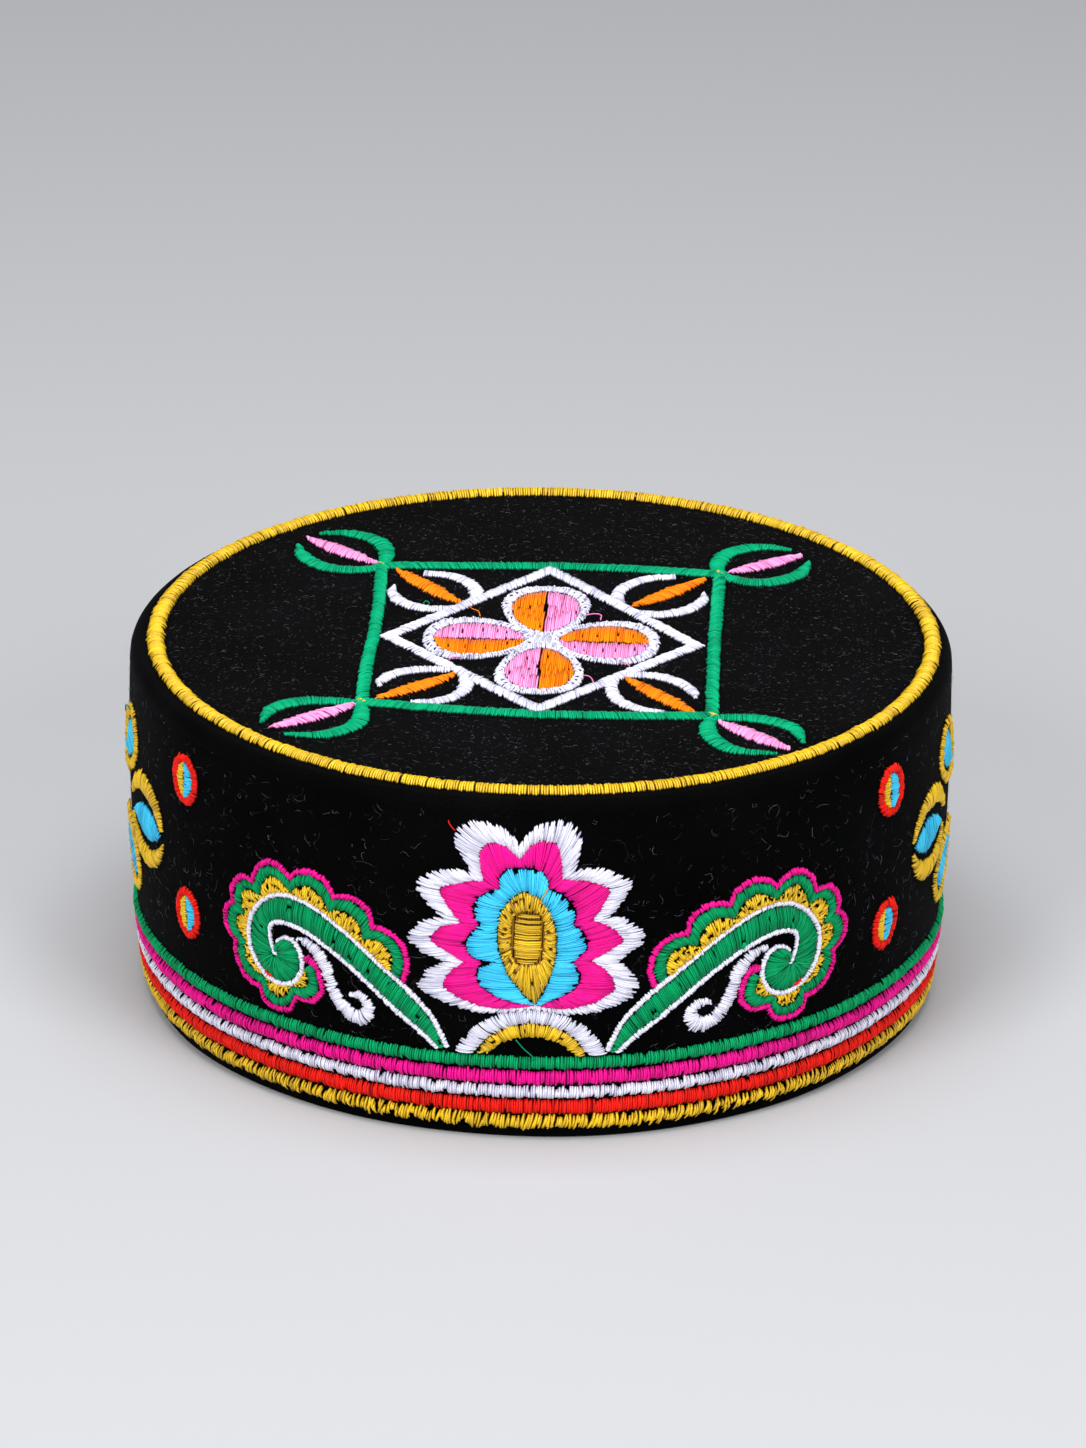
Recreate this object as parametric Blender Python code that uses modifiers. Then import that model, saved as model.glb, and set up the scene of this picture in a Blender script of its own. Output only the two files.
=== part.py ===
"""Round topi cap: a stiff black velvet pillbox with raised satin-stitch embroidery.

The cap stands on its hem with +Z up. Its front, where the lotus is, faces -Y, and the world
origin is the middle of the hem's underside. Lengths in this file are millimetres, and MM
turns them into metres when a mesh is made.
"""

import math

import bmesh
import bpy

MM = 0.001
MERGE = 0.01

# Velvet body
HEM_RADIUS = 92.5
WALL_FLARE = 0.0416
WALL_BULGE = 6.85
CLOTH = 2.5
SEAM_HEIGHT = 82.3
CROWN_HEIGHT = 85.2
SHOULDER_STEPS = 3
BAND_HEIGHTS = [SEAM_HEIGHT, 55.0, 25.0, 0.0]
TURN_STEPS = 48

# Embroidery
GAP = 0.3
STITCH = 0.7
WALL_UNIT = 94.0
CROWN_TURN = math.radians(-2.9)
LOBE_FULLNESS = 0.75
LOTUS_STEPS = 5
SEED_ROW_SKIP = 2
ARCH_STEPS = 10
SCROLL_STEPS = 4
OVAL_STEPS = 10
PETAL_STEPS = 8
SHARP_ANGLE = math.radians(35)

# Colours, linear
VELVET = (0.006, 0.0055, 0.0065)
WHITE = (0.76, 0.76, 0.86)
GOLD = (0.70, 0.42, 0.015)
RED = (0.72, 0.012, 0.01)
MAGENTA = (0.70, 0.006, 0.25)
GREEN = (0.004, 0.26, 0.09)
CROWN_GREEN = (0.006, 0.40, 0.18)
BLUE = (0.04, 0.56, 0.82)
ORANGE = (0.92, 0.26, 0.008)
PALE_PINK = (0.88, 0.30, 0.56)
VELVET_ROUGHNESS = 0.95
THREAD_ROUGHNESS = 0.45

STRIPES = [
    # name, low, high, colour
    ("stripe_gold", 2.9, 6.2, GOLD),
    ("stripe_red", 6.7, 10.4, RED),
    ("stripe_white", 10.9, 13.9, WHITE),
    ("stripe_magenta", 14.4, 17.9, MAGENTA),
    ("stripe_green", 18.6, 21.7, GREEN),
]
EDGE_RING_OUTER = 93.4
EDGE_RING_WIDTH = 3.7

# Closed outlines of the lotus, clockwise from the notch at the top: each row is the notch
# where a petal starts and the tip it reaches before the next notch.
LOTUS_WHITE = [
    # notch s, notch z, tip s, tip z
    (-3.5, 75.3, 7.8, 81.0),
    (9.2, 69.2, 20.5, 67.0),
    (16.7, 57.1, 25.0, 51.6),
    (18.5, 46.0, 20.8, 36.4),
    (-0.2, 34.4, -22.6, 35.2),
    (-21.4, 45.8, -28.0, 50.6),
    (-20.6, 56.5, -25.6, 65.0),
    (-14.0, 68.3, -15.0, 80.0),
]
LOTUS_PINK = [
    # notch s, notch z, tip s, tip z
    (-3.3, 71.7, 3.9, 75.9),
    (6.2, 66.9, 16.2, 63.9),
    (13.0, 56.5, 19.6, 51.3),
    (12.8, 46.2, 16.6, 38.0),
    (-0.2, 35.6, -18.6, 38.2),
    (-15.8, 45.8, -22.9, 50.1),
    (-16.1, 55.3, -20.4, 62.8),
    (-11.3, 66.2, -9.5, 75.2),
]
LOTUS_BLUE = [
    # notch s, notch z, tip s, tip z
    (-2.2, 69.4, 1.9, 68.4),
    (3.2, 64.4, 8.2, 61.0),
    (8.3, 55.4, 11.4, 50.6),
    (9.7, 46.4, 8.4, 40.2),
    (0.2, 36.4, -10.9, 40.4),
    (-11.4, 45.9, -14.5, 50.3),
    (-12.1, 54.9, -12.8, 60.0),
    (-8.0, 64.0, -6.6, 68.0),
]
SEED_TOP = (-2.2, 63.8)
SEED_LEFT = (-7.8, 52.5)
SEED_RIGHT = (4.6, 52.0)
SEED_FOOT = (0.2, 38.2)

# Arcs of the arch under the lotus
ARCH_MIDDLE = -0.3
ARCH_ARCS = [
    # half width, foot z, top z
    (15.6, 22.4, 33.2),
    (12.8, 22.4, 30.4),
    (12.3, 22.4, 30.1),
    (10.4, 22.4, 26.7),
]

# The horn of each scroll, from its foot to the eye of its curl
HORN = [
    # outer s, outer z, inner s, inner z
    (17.0, 24.2, 19.4, 22.8),
    (20.3, 30.5, 22.8, 26.6),
    (26.0, 36.8, 28.8, 31.2),
    (31.3, 40.9, 34.3, 35.6),
    (36.8, 45.2, 39.3, 39.4),
    (42.8, 49.0, 44.8, 42.8),
    (49.3, 52.3, 50.3, 45.4),
    (55.3, 53.9, 56.3, 46.8),
    (60.9, 52.6, 60.8, 46.3),
    (65.6, 49.3, 62.9, 44.4),
    (68.8, 44.4, 62.8, 41.0),
    (69.4, 39.5, 61.8, 37.6),
    (68.0, 34.6, 61.8, 37.6),
    (64.8, 31.4, 61.8, 37.6),
    (60.3, 30.2, 61.8, 37.6),
    (56.3, 31.5, 61.8, 37.6),
    (53.6, 35.0, 61.8, 37.6),
    (53.2, 38.8, 61.8, 37.6),
    (55.0, 41.8, 61.8, 37.6),
    (58.4, 42.4, 61.8, 37.6),
    (60.7, 40.8, 61.8, 37.6),
]
# Lobes along the horn's back. The root is the row of the horn, counted from 0, that faces
# the notch, and the last row is only the end of the last lobe.
SCROLL_LOBES = [
    # notch s, notch z, tip s, tip z, root
    (25.0, 39.6, 27.0, 48.6, 2.1),
    (33.8, 51.6, 38.3, 57.4, 4.0),
    (44.5, 57.3, 50.8, 62.0, 5.4),
    (56.5, 59.1, 63.8, 61.5, 7.0),
    (67.8, 55.0, 74.0, 54.2, 9.0),
    (75.3, 47.3, 78.2, 42.8, 9.9),
    (73.8, 37.3, 74.6, 31.2, 11.2),
    (67.3, 27.2, 61.2, 23.0, 12.9),
    (55.3, 27.7, 48.2, 30.0, 14.7),
    (50.4, 38.8, 50.4, 38.8, 16.9),
]
BORDER_WIDTH = 1.5
LEFT_SCROLL_SHIFT = 3.6
LEFT_SCROLL_STRETCH = 0.957

TENDRIL = [
    # s, z, width
    (52.2, 42.9, 0.8),
    (49.4, 41.6, 1.8),
    (47.2, 39.4, 2.2),
    (45.6, 36.0, 2.6),
    (44.2, 32.3, 3.0),
    (42.2, 28.8, 3.4),
    (39.5, 27.0, 3.6),
    (36.5, 28.0, 3.2),
    (35.5, 30.7, 2.4),
    (36.9, 32.6, 2.0),
    (39.3, 32.6, 1.0),
]

OVAL_S = 93.0
OVAL_HEIGHTS = {"upper": 71.0, "lower": 37.0}
OVAL_HALF_WIDTH = 5.8
OVAL_HALF_HEIGHT = 6.6

SIDE_MIDDLE = 51.5
SIDE_HUB = 11.0
SIDE_PETALS = [
    # direction in degrees, length
    (0.0, 45.0),
    (40.0, 33.0),
    (140.0, 33.0),
    (180.0, 45.0),
    (220.0, 33.0),
    (320.0, 33.0),
]
SIDE_STEPS = 6
SIDE_FULLNESS = 0.5
SIDE_RINGS = 4
FACET_DEPTH = 0.3

# Crown pattern: a bowed square frame, a diamond in it, four petals and eight corner leaves
FRAME_PATH = [
    # x, y of the middle of the band, clockwise
    (-41.2, 42.0),
    (-20.0, 43.6),
    (0.0, 44.6),
    (20.0, 44.2),
    (40.3, 43.0),
    (40.6, 20.0),
    (40.8, 0.0),
    (41.4, -22.0),
    (42.2, -43.4),
    (21.0, -45.4),
    (2.0, -46.2),
    (-19.0, -44.2),
    (-39.0, -41.6),
    (-39.6, -20.0),
    (-39.4, 0.0),
    (-40.0, 21.0),
]
FRAME_BAND = 2.8
FRAME_REACH = 41.0
DIAMOND_PATH = [(-0.5, 40.6), (35.6, -1.5), (2.0, -42.0), (-35.0, -2.5)]
DIAMOND_BAND = 2.6
DIAMOND_REACH = 26.0
FLOWER_MIDDLE = (0.5, -1.3)
FLOWER_HUB = 3.6
PETAL_LEAN = 1.3
PETAL_FULLNESS = 0.9
FLOWER_PETALS = [
    # name, direction in degrees, length, width, colour
    ("up", 91.0, 32.4, 19.6, PALE_PINK),
    ("left", 180.0, 27.8, 24.6, ORANGE),
    ("down", 271.0, 31.6, 19.6, PALE_PINK),
    ("right", 0.0, 27.6, 25.0, ORANGE),
]
CORNER_LEAVES = [
    # name, joint x, joint y, direction in degrees, spindle length, half width, claw scale
    ("inner_leaf_back_left", -21.9, 22.6, 130.0, 23.0, 2.1, 0.86),
    ("inner_leaf_back_right", 21.2, 23.2, 49.0, 22.0, 2.1, 0.86),
    ("inner_leaf_front_left", -20.6, -25.2, 222.0, 20.0, 2.1, 0.84),
    ("inner_leaf_front_right", 22.3, -25.0, 317.0, 21.0, 2.1, 0.84),
    ("outer_leaf_back_left", -43.8, 44.6, 140.0, 22.6, 2.0, 1.12),
    ("outer_leaf_back_right", 42.8, 45.8, 39.0, 22.4, 2.0, 1.12),
    ("outer_leaf_front_left", -41.6, -44.0, 220.0, 22.6, 2.0, 1.12),
    ("outer_leaf_front_right", 44.6, -45.8, 318.0, 22.4, 2.0, 1.12),
]
# A corner leaf, along and aside its own direction: the back of its joint, the notch between
# its claw and its spindle, and the middle line of the claw
LEAF_HEEL = (-0.6, 0.5)
LEAF_NOTCH = (1.4, 0.7)
CLAW = [
    # along, aside, half width
    (0.8, 2.0, 0.5),
    (4.6, 6.2, 1.2),
    (10.8, 9.2, 1.5),
    (17.6, 8.4, 1.1),
    (21.6, 5.0, 0.3),
]


def wall_radius(z):
    """Outer radius of the velvet wall at a height."""
    share = z / CROWN_HEIGHT
    return HEM_RADIUS + WALL_FLARE * z + WALL_BULGE * share * (1 - share)


def on_wall(point, lift=GAP):
    """A point of the wall's pattern, s along the wall and z up, just clear of the velvet."""
    s, z = point
    angle = s / WALL_UNIT
    radius = wall_radius(z) + lift
    return (radius * math.sin(angle) * MM, -radius * math.cos(angle) * MM, z * MM)


def on_crown(point):
    """A point of the crown's pattern, just clear of the velvet."""
    return (point[0] * MM, point[1] * MM, (CROWN_HEIGHT + GAP) * MM)


def material(name, colour, roughness):
    made = bpy.data.materials.new(name)
    made.use_nodes = True
    shader = made.node_tree.nodes["Principled BSDF"]
    shader.inputs["Base Color"].default_value = (*colour, 1)
    shader.inputs["Roughness"].default_value = roughness
    shader.inputs["Metallic"].default_value = 0.0
    return made


def add_object(name, mesh, colour, roughness, turn=0.0):
    made = bpy.data.objects.new(name, mesh)
    made.rotation_euler.z = turn
    made.data.materials.clear()
    made.data.materials.append(material(name, colour, roughness))
    made.parent = centre
    parts.objects.link(made)
    return made


def turned(name, profile, colour, roughness):
    """A ring or disc turned about Z from a profile that starts at the top of its outer side."""
    bm = bmesh.new()
    points = [bm.verts.new((radius * MM, 0, z * MM)) for radius, z in profile]
    on_axis = profile[0][0] == 0
    ends = points[1:] if on_axis else points[1:] + points[:1]
    for start, end in zip(points, ends):
        bm.edges.new((start, end))
    mesh = bpy.data.meshes.new(name)
    bm.to_mesh(mesh)
    bm.free()
    made = add_object(name, mesh, colour, roughness)
    screw = made.modifiers.new("Turn", "SCREW")
    screw.axis = "Z"
    screw.angle = math.tau
    screw.steps = TURN_STEPS
    screw.render_steps = TURN_STEPS
    screw.use_merge_vertices = True
    screw.merge_threshold = MERGE * MM
    return made


def lobe(start, tip, end, steps, fullness=LOBE_FULLNESS):
    """Points of a rounded lobe from one notch through its tip, without the last notch."""
    middle = [(a + b) / 2 for a, b in zip(start, end)]
    points = []
    for step in range(steps):
        share = (1 - math.cos(math.pi * step / steps)) / 2
        across = (1 - math.cos(math.pi * share)) / 2
        out = math.sin(math.pi * share) ** fullness
        points.append(
            tuple(
                a + (b - a) * across + (t - m) * out
                for a, b, t, m in zip(start, end, tip, middle)
            )
        )
    return points


def closed_lobes(table, steps):
    """The whole outline of a closed ring of lobes."""
    outline = []
    for row, following in zip(table, table[1:] + table[:1]):
        outline += lobe(row[0:2], row[2:4], following[0:2], steps)
    return outline


def moved_towards(points, targets, distance):
    """Each point moved a set distance towards its target."""
    moved = []
    for (x, y), (to_x, to_y) in zip(points, targets):
        length = math.hypot(to_x - x, to_y - y)
        share = distance / length
        moved.append((x + (to_x - x) * share, y + (to_y - y) * share))
    return moved


def scaled(points, middle, factor):
    return [
        (middle[0] + (x - middle[0]) * factor, middle[1] + (y - middle[1]) * factor)
        for x, y in points
    ]


def arc(half_width, foot, top, steps):
    """Points of a round arch through both feet and its top."""
    rise = top - foot
    radius = (half_width**2 + rise**2) / (2 * rise)
    reach = math.asin(half_width / radius)
    points = []
    for step in range(steps + 1):
        angle = -reach + 2 * reach * step / steps
        points.append(
            (ARCH_MIDDLE + radius * math.sin(angle), top - radius * (1 - math.cos(angle)))
        )
    return points


def beside(path, widths):
    """The two edges of a ribbon that follows a path."""
    left = []
    right = []
    for index, (x, y) in enumerate(path):
        before = path[max(index - 1, 0)]
        after = path[min(index + 1, len(path) - 1)]
        along_x = after[0] - before[0]
        along_y = after[1] - before[1]
        length = math.hypot(along_x, along_y)
        off_x = -along_y / length * widths[index] / 2
        off_y = along_x / length * widths[index] / 2
        left.append((x + off_x, y + off_y))
        right.append((x - off_x, y - off_y))
    return left, right


def at_row(table, row):
    """The outer edge of the horn at a row that may lie between two rows."""
    low = min(int(row), len(table) - 2)
    share = row - low
    return tuple(table[low][i] + (table[low + 1][i] - table[low][i]) * share for i in (0, 1))


def sheet(name, rails, wrap, place, middle=None):
    """A one-face-thick mesh between neighbouring rails, with its faces turned outwards."""
    bm = bmesh.new()
    rows = [[bm.verts.new(place(point)) for point in rail] for rail in rails]
    count = len(rows[0])
    spans = range(count if wrap else count - 1)
    for near, far in zip(rows, rows[1:]):
        for index in spans:
            beyond = (index + 1) % count
            bm.faces.new((near[index], near[beyond], far[beyond], far[index]))
    if middle:
        hub = bm.verts.new(place(middle))
        for index in spans:
            bm.faces.new((rows[0][(index + 1) % count], rows[0][index], hub))
    bmesh.ops.remove_doubles(bm, verts=bm.verts, dist=MERGE * MM)
    bmesh.ops.recalc_face_normals(bm, faces=bm.faces)
    face = max(bm.faces, key=lambda each: each.calc_area())
    spot = face.calc_center_median()
    if spot.z > CROWN_HEIGHT * MM:
        outwards = face.normal.z > 0
    else:
        outwards = face.normal.x * spot.x + face.normal.y * spot.y > 0
    if not outwards:
        bmesh.ops.reverse_faces(bm, faces=bm.faces)
    mesh = bpy.data.meshes.new(name)
    bm.to_mesh(mesh)
    bm.free()
    return mesh


def outline_sheet(name, outline):
    """A flat face on the crown inside one closed outline."""
    bm = bmesh.new()
    face = bm.faces.new([bm.verts.new(on_crown(point)) for point in outline])
    face.normal_update()
    if face.normal.z < 0:
        face.normal_flip()
    mesh = bpy.data.meshes.new(name)
    bm.to_mesh(mesh)
    bm.free()
    return mesh


def raised(name, mesh, colour, turn=0.0):
    """A patch of satin stitch: the sheet given the height of the stitches."""
    made = add_object(name, mesh, colour, THREAD_ROUGHNESS, turn)
    solid = made.modifiers.new("Stitch height", "SOLIDIFY")
    solid.thickness = STITCH * MM
    solid.offset = 1.0
    return made


def front_and_back(name, mesh, colour):
    """One patch on the front of the wall and the same patch on the back."""
    raised(name + "_front", mesh, colour)
    raised(name + "_back", mesh.copy(), colour, math.pi)


def make_body():
    """The open band, and the crown disc that lies on it with a rounded shoulder."""
    outer = [(wall_radius(z), z) for z in BAND_HEIGHTS]
    inner = [(wall_radius(z) - CLOTH, z) for z in reversed(BAND_HEIGHTS)]
    turned("side_band", outer + inner, VELVET, VELVET_ROUGHNESS)

    rim = wall_radius(SEAM_HEIGHT)
    low = SEAM_HEIGHT + GAP
    shoulder = CROWN_HEIGHT - low
    profile = [(0, CROWN_HEIGHT)]
    for step in range(SHOULDER_STEPS + 1):
        angle = math.pi / 2 * step / SHOULDER_STEPS
        radius = rim - shoulder * (1 - math.sin(angle))
        profile.append((radius, low + shoulder * math.cos(angle)))
    profile.append((0, low))
    turned("crown_panel", profile, VELVET, VELVET_ROUGHNESS)


def make_stripes():
    for name, low, high, colour in STRIPES:
        profile = [
            (wall_radius(high) + GAP + STITCH, high),
            (wall_radius(low) + GAP + STITCH, low),
            (wall_radius(low) + GAP, low),
            (wall_radius(high) + GAP, high),
        ]
        turned(name, profile, colour, THREAD_ROUGHNESS)
    inner = EDGE_RING_OUTER - EDGE_RING_WIDTH
    low = CROWN_HEIGHT + GAP
    profile = [
        (EDGE_RING_OUTER, low + STITCH),
        (EDGE_RING_OUTER, low),
        (inner, low),
        (inner, low + STITCH),
    ]
    turned("crown_edge_ring", profile, GOLD, THREAD_ROUGHNESS)


def make_lotus():
    white = closed_lobes(LOTUS_WHITE, LOTUS_STEPS)
    pink = closed_lobes(LOTUS_PINK, LOTUS_STEPS)
    blue = closed_lobes(LOTUS_BLUE, LOTUS_STEPS)
    half = len(blue) // 2
    seed = lobe(SEED_TOP, SEED_RIGHT, SEED_FOOT, half) + lobe(SEED_FOOT, SEED_LEFT, SEED_TOP, half)
    layers = [
        # name, outer outline, inner outline, colour
        ("lotus_white", white, pink, WHITE),
        ("lotus_pink", pink, blue, MAGENTA),
        ("lotus_blue", blue, seed, BLUE),
    ]
    for name, outer, inner, colour in layers:
        rails = [outer, moved_towards(inner, outer, GAP)]
        front_and_back(name, sheet(name, rails, True, on_wall), colour)
    right = seed[: half + 1 : SEED_ROW_SKIP]
    left = ([seed[0]] + seed[: half - 1 : -1])[::SEED_ROW_SKIP]
    middle = [((a + c) / 2, (b + d) / 2) for (a, b), (c, d) in zip(left, right)]
    seed_sheet = sheet("lotus_seed", [left, middle, right], False, on_wall)
    front_and_back("lotus_seed", seed_sheet, GOLD)


def make_arch():
    rails = [arc(half_width, foot, top, ARCH_STEPS) for half_width, foot, top in ARCH_ARCS]
    front_and_back("arch_white", sheet("arch_white", rails[:2], False, on_wall), WHITE)
    front_and_back("arch_gold", sheet("arch_gold", rails[2:], False, on_wall), GOLD)


def make_scroll(side, sign, shift, stretch):
    """One scroll. The left one is the mirror image of the right one, a little narrower."""

    def place(point):
        return on_wall((sign * (shift + stretch * point[0]), point[1]))

    outer = [row[0:2] for row in HORN]
    inner = [row[2:4] for row in HORN]
    edge = []
    roots = []
    for row, following in zip(SCROLL_LOBES, SCROLL_LOBES[1:]):
        edge += lobe(row[0:2], row[2:4], following[0:2], SCROLL_STEPS)
        for step in range(SCROLL_STEPS):
            root = row[4] + (following[4] - row[4]) * step / SCROLL_STEPS
            roots.append(at_row(HORN, root))
    edge.append(SCROLL_LOBES[-1][0:2])
    roots.append(at_row(HORN, SCROLL_LOBES[-1][4]))
    border = moved_towards(edge, roots, BORDER_WIDTH)
    fill = moved_towards(edge, roots, BORDER_WIDTH + GAP)
    foot = moved_towards(roots, edge, 2 * GAP)
    left, right = beside([row[0:2] for row in TENDRIL], [row[2] for row in TENDRIL])
    pieces = [
        # name, rails, colour
        ("scroll_horn", [outer, inner], GREEN),
        ("scroll_border", [edge, border], MAGENTA),
        ("scroll_fill", [fill, foot], GOLD),
        ("scroll_tendril", [left, right], WHITE),
    ]
    for name, rails, colour in pieces:
        name = name + "_" + side
        front_and_back(name, sheet(name, rails, False, place), colour)


def make_ovals():
    for side, sign in (("left", -1), ("right", 1)):
        for height_name, height in OVAL_HEIGHTS.items():
            ring = []
            for step in range(OVAL_STEPS):
                angle = math.tau * step / OVAL_STEPS
                ring.append(
                    (
                        sign * OVAL_S + OVAL_HALF_WIDTH * math.cos(angle),
                        height + OVAL_HALF_HEIGHT * math.sin(angle),
                    )
                )
            name = "oval_" + height_name + "_" + side
            mesh = sheet(name, [ring], True, on_wall, (sign * OVAL_S, height))
            front_and_back(name, mesh, RED)


def on_wall_clear(point):
    """As on_wall, for the long faces of a broad patch, whose middles lie deeper than its corners."""
    return on_wall(point, GAP + FACET_DEPTH)


def make_side_flowers():
    quarter = WALL_UNIT * math.pi / 2
    middle = (quarter, SIDE_MIDDLE)
    outline = []
    count = len(SIDE_PETALS)
    for index, (direction, length) in enumerate(SIDE_PETALS):
        following = SIDE_PETALS[(index + 1) % count][0] + (360 if index == count - 1 else 0)
        previous = SIDE_PETALS[index - 1][0] - (360 if index == 0 else 0)
        spots = []
        for angle, reach in (
            ((previous + direction) / 2, SIDE_HUB),
            (direction, length),
            ((direction + following) / 2, SIDE_HUB),
        ):
            turn = math.radians(angle)
            spots.append((reach * math.cos(turn), reach * math.sin(turn)))
        outline += lobe(*spots, SIDE_STEPS, SIDE_FULLNESS)
    outline = [(middle[0] + x, middle[1] + y) for x, y in outline]
    rails = [scaled(outline, middle, (ring + 1) / SIDE_RINGS) for ring in range(SIDE_RINGS)]
    mesh = sheet("side_flower", rails, True, on_wall_clear, middle)
    raised("side_flower_right", mesh, GOLD)
    raised("side_flower_left", mesh.copy(), GOLD, math.pi)


def band_sheet(name, path, band, reach):
    """A closed band that follows a path whose sides lie about one reach from its middle."""
    middle = (sum(x for x, _ in path) / len(path), sum(y for _, y in path) / len(path))
    rails = [scaled(path, middle, 1 + half * band / 2 / reach) for half in (1, -1)]
    return sheet(name, rails, True, on_crown)


def turned_into(points, joint, direction):
    """Points given along and aside a direction, placed at their joint."""
    turn = math.radians(direction)
    return [
        (
            joint[0] + along * math.cos(turn) - aside * math.sin(turn),
            joint[1] + along * math.sin(turn) + aside * math.cos(turn),
        )
        for along, aside in points
    ]


def petal_outline(length, width):
    """A teardrop with its point at the flower's middle."""
    side = []
    for step in range(1, PETAL_STEPS):
        share = step / PETAL_STEPS
        along = FLOWER_HUB + (length - FLOWER_HUB) * (1 - math.cos(math.pi * share)) / 2
        across = width / 2 * math.sin(math.pi * share**PETAL_LEAN) ** PETAL_FULLNESS
        side.append((along, across))
    mirrored = [(along, -across) for along, across in reversed(side)]
    return [(FLOWER_HUB, 0)] + side + [(length, 0)] + mirrored


def leaf_outline(length, half_width, claw_scale):
    """A spindle between two claws that all start at one joint."""
    claw = [[value * claw_scale for value in row] for row in CLAW]
    far_side, near_side = beside([row[0:2] for row in claw], [row[2] * 2 for row in claw])
    spindle = []
    for share in (0.2, 0.5, 0.8):
        spindle.append((length * share, half_width * math.sin(math.pi * share)))
    half = [LEAF_HEEL] + far_side + near_side[:0:-1] + [LEAF_NOTCH] + spindle
    mirrored = [(along, -aside) for along, aside in reversed(half)]
    return half + [(length, 0)] + mirrored


def make_crown_pattern():
    frame = band_sheet("crown_frame", FRAME_PATH, FRAME_BAND, FRAME_REACH)
    raised("crown_frame", frame, CROWN_GREEN, CROWN_TURN)
    diamond = band_sheet("crown_diamond", DIAMOND_PATH, DIAMOND_BAND, DIAMOND_REACH)
    raised("crown_diamond", diamond, WHITE, CROWN_TURN)
    for place, direction, length, width, colour in FLOWER_PETALS:
        outline = turned_into(petal_outline(length, width), FLOWER_MIDDLE, direction)
        name = "flower_petal_" + place
        raised(name, outline_sheet(name, outline), colour, CROWN_TURN)
    for name, x, y, direction, length, half_width, claw_scale in CORNER_LEAVES:
        outline = turned_into(leaf_outline(length, half_width, claw_scale), (x, y), direction)
        colour = WHITE if name.startswith("inner") else CROWN_GREEN
        raised(name, outline_sheet(name, outline), colour, CROWN_TURN)


for old in list(bpy.data.objects):
    bpy.data.objects.remove(old, do_unlink=True)
parts = bpy.data.collections.new("topi_cap")
bpy.context.scene.collection.children.link(parts)
centre = bpy.data.objects.new("cap_centre", None)
parts.objects.link(centre)

make_body()
make_stripes()
make_lotus()
make_arch()
make_scroll("right", 1, 0.0, 1.0)
make_scroll("left", -1, LEFT_SCROLL_SHIFT, LEFT_SCROLL_STRETCH)
make_ovals()
make_side_flowers()
make_crown_pattern()

for made in parts.objects:
    if made.type == "MESH":
        made.data.shade_smooth()
        made.data.set_sharp_from_angle(angle=SHARP_ANGLE)
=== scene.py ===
# %% [markdown]
# # A black velvet topi cap with satin-stitch embroidery
# The cap is a stiff round pillbox: a band, a flat crown with a rounded shoulder, five stitched
# stripes along the hem, and flowers and scrolls worked in glossy rayon thread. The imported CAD
# model gives the velvet walls and one plain plate for each patch of stitches. This lesson
# replaces each plate with its real threads, laid side by side, and the walls with velvet.

# %% Load the frame
import math

import bpy
import numpy as np
from mathutils import Matrix, Vector


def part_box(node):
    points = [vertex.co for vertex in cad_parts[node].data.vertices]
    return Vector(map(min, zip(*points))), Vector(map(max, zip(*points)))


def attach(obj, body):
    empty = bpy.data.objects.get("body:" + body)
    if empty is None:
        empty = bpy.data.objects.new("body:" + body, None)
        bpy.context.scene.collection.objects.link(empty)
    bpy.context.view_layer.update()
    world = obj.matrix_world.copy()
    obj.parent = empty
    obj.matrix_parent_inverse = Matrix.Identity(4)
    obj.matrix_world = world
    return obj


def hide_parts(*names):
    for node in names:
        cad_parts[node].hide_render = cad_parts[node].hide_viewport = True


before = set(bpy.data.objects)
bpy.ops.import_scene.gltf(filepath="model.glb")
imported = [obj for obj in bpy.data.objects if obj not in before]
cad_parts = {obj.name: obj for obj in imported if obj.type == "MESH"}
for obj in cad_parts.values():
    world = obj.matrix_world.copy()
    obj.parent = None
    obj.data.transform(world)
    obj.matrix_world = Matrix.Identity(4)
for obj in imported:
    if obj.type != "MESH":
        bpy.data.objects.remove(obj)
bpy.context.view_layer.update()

# %% [markdown]
# ## The wall and the crown as maps
# Embroidery is drawn flat and then laid on the cloth, so two small maps do the same here. On
# the wall a point is s millimetres to the right of the front and z up. On the crown it is x, y.
# The third number is the lift above the velvet. The radius follows the CAD band, with the pile
# of the velvet on it, and both maps carry the slight waviness that a hand-made cap has.

# %% Maps from the flat drawing to the cap
MM = 0.001
CROWN_HEIGHT = 85.2
SEAM_HEIGHT = 82.3
HEM_RADIUS = 92.5
WALL_FLARE = 0.0416
WALL_BULGE = 6.85
CLOTH = 2.5
WALL_UNIT = 94.0
CROWN_TURN = math.radians(-2.9)
WAVE_HEIGHT = 0.18
SHOULDER_RADIUS = 2.9
PILE = 0.7
WALL_CALM = 20
CROWN_CALM = 30
CALM_RADIUS = 88


def wall_radius(z):
    """Outer radius of the velvet wall at a height."""
    share = z / CROWN_HEIGHT
    return HEM_RADIUS + PILE + WALL_FLARE * z + WALL_BULGE * share * (1 - share)


def wall_wave(angle, z):
    """A faint swell of the stiff band, the same for the velvet and its stitches."""
    calm = np.clip((SEAM_HEIGHT - z) / WALL_CALM, 0, 1)
    return WAVE_HEIGHT * calm * (np.sin(5 * angle + z / 23) + 0.6 * np.sin(11 * angle - z / 17))


def crown_wave(x, y):
    """A faint swell of the crown, flat at its rim."""
    calm = np.clip((CALM_RADIUS - np.hypot(x, y)) / CROWN_CALM, 0, 1)
    return WAVE_HEIGHT * calm * (np.sin(x / 17 + 1) + np.sin(y / 21 - x / 40))


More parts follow.
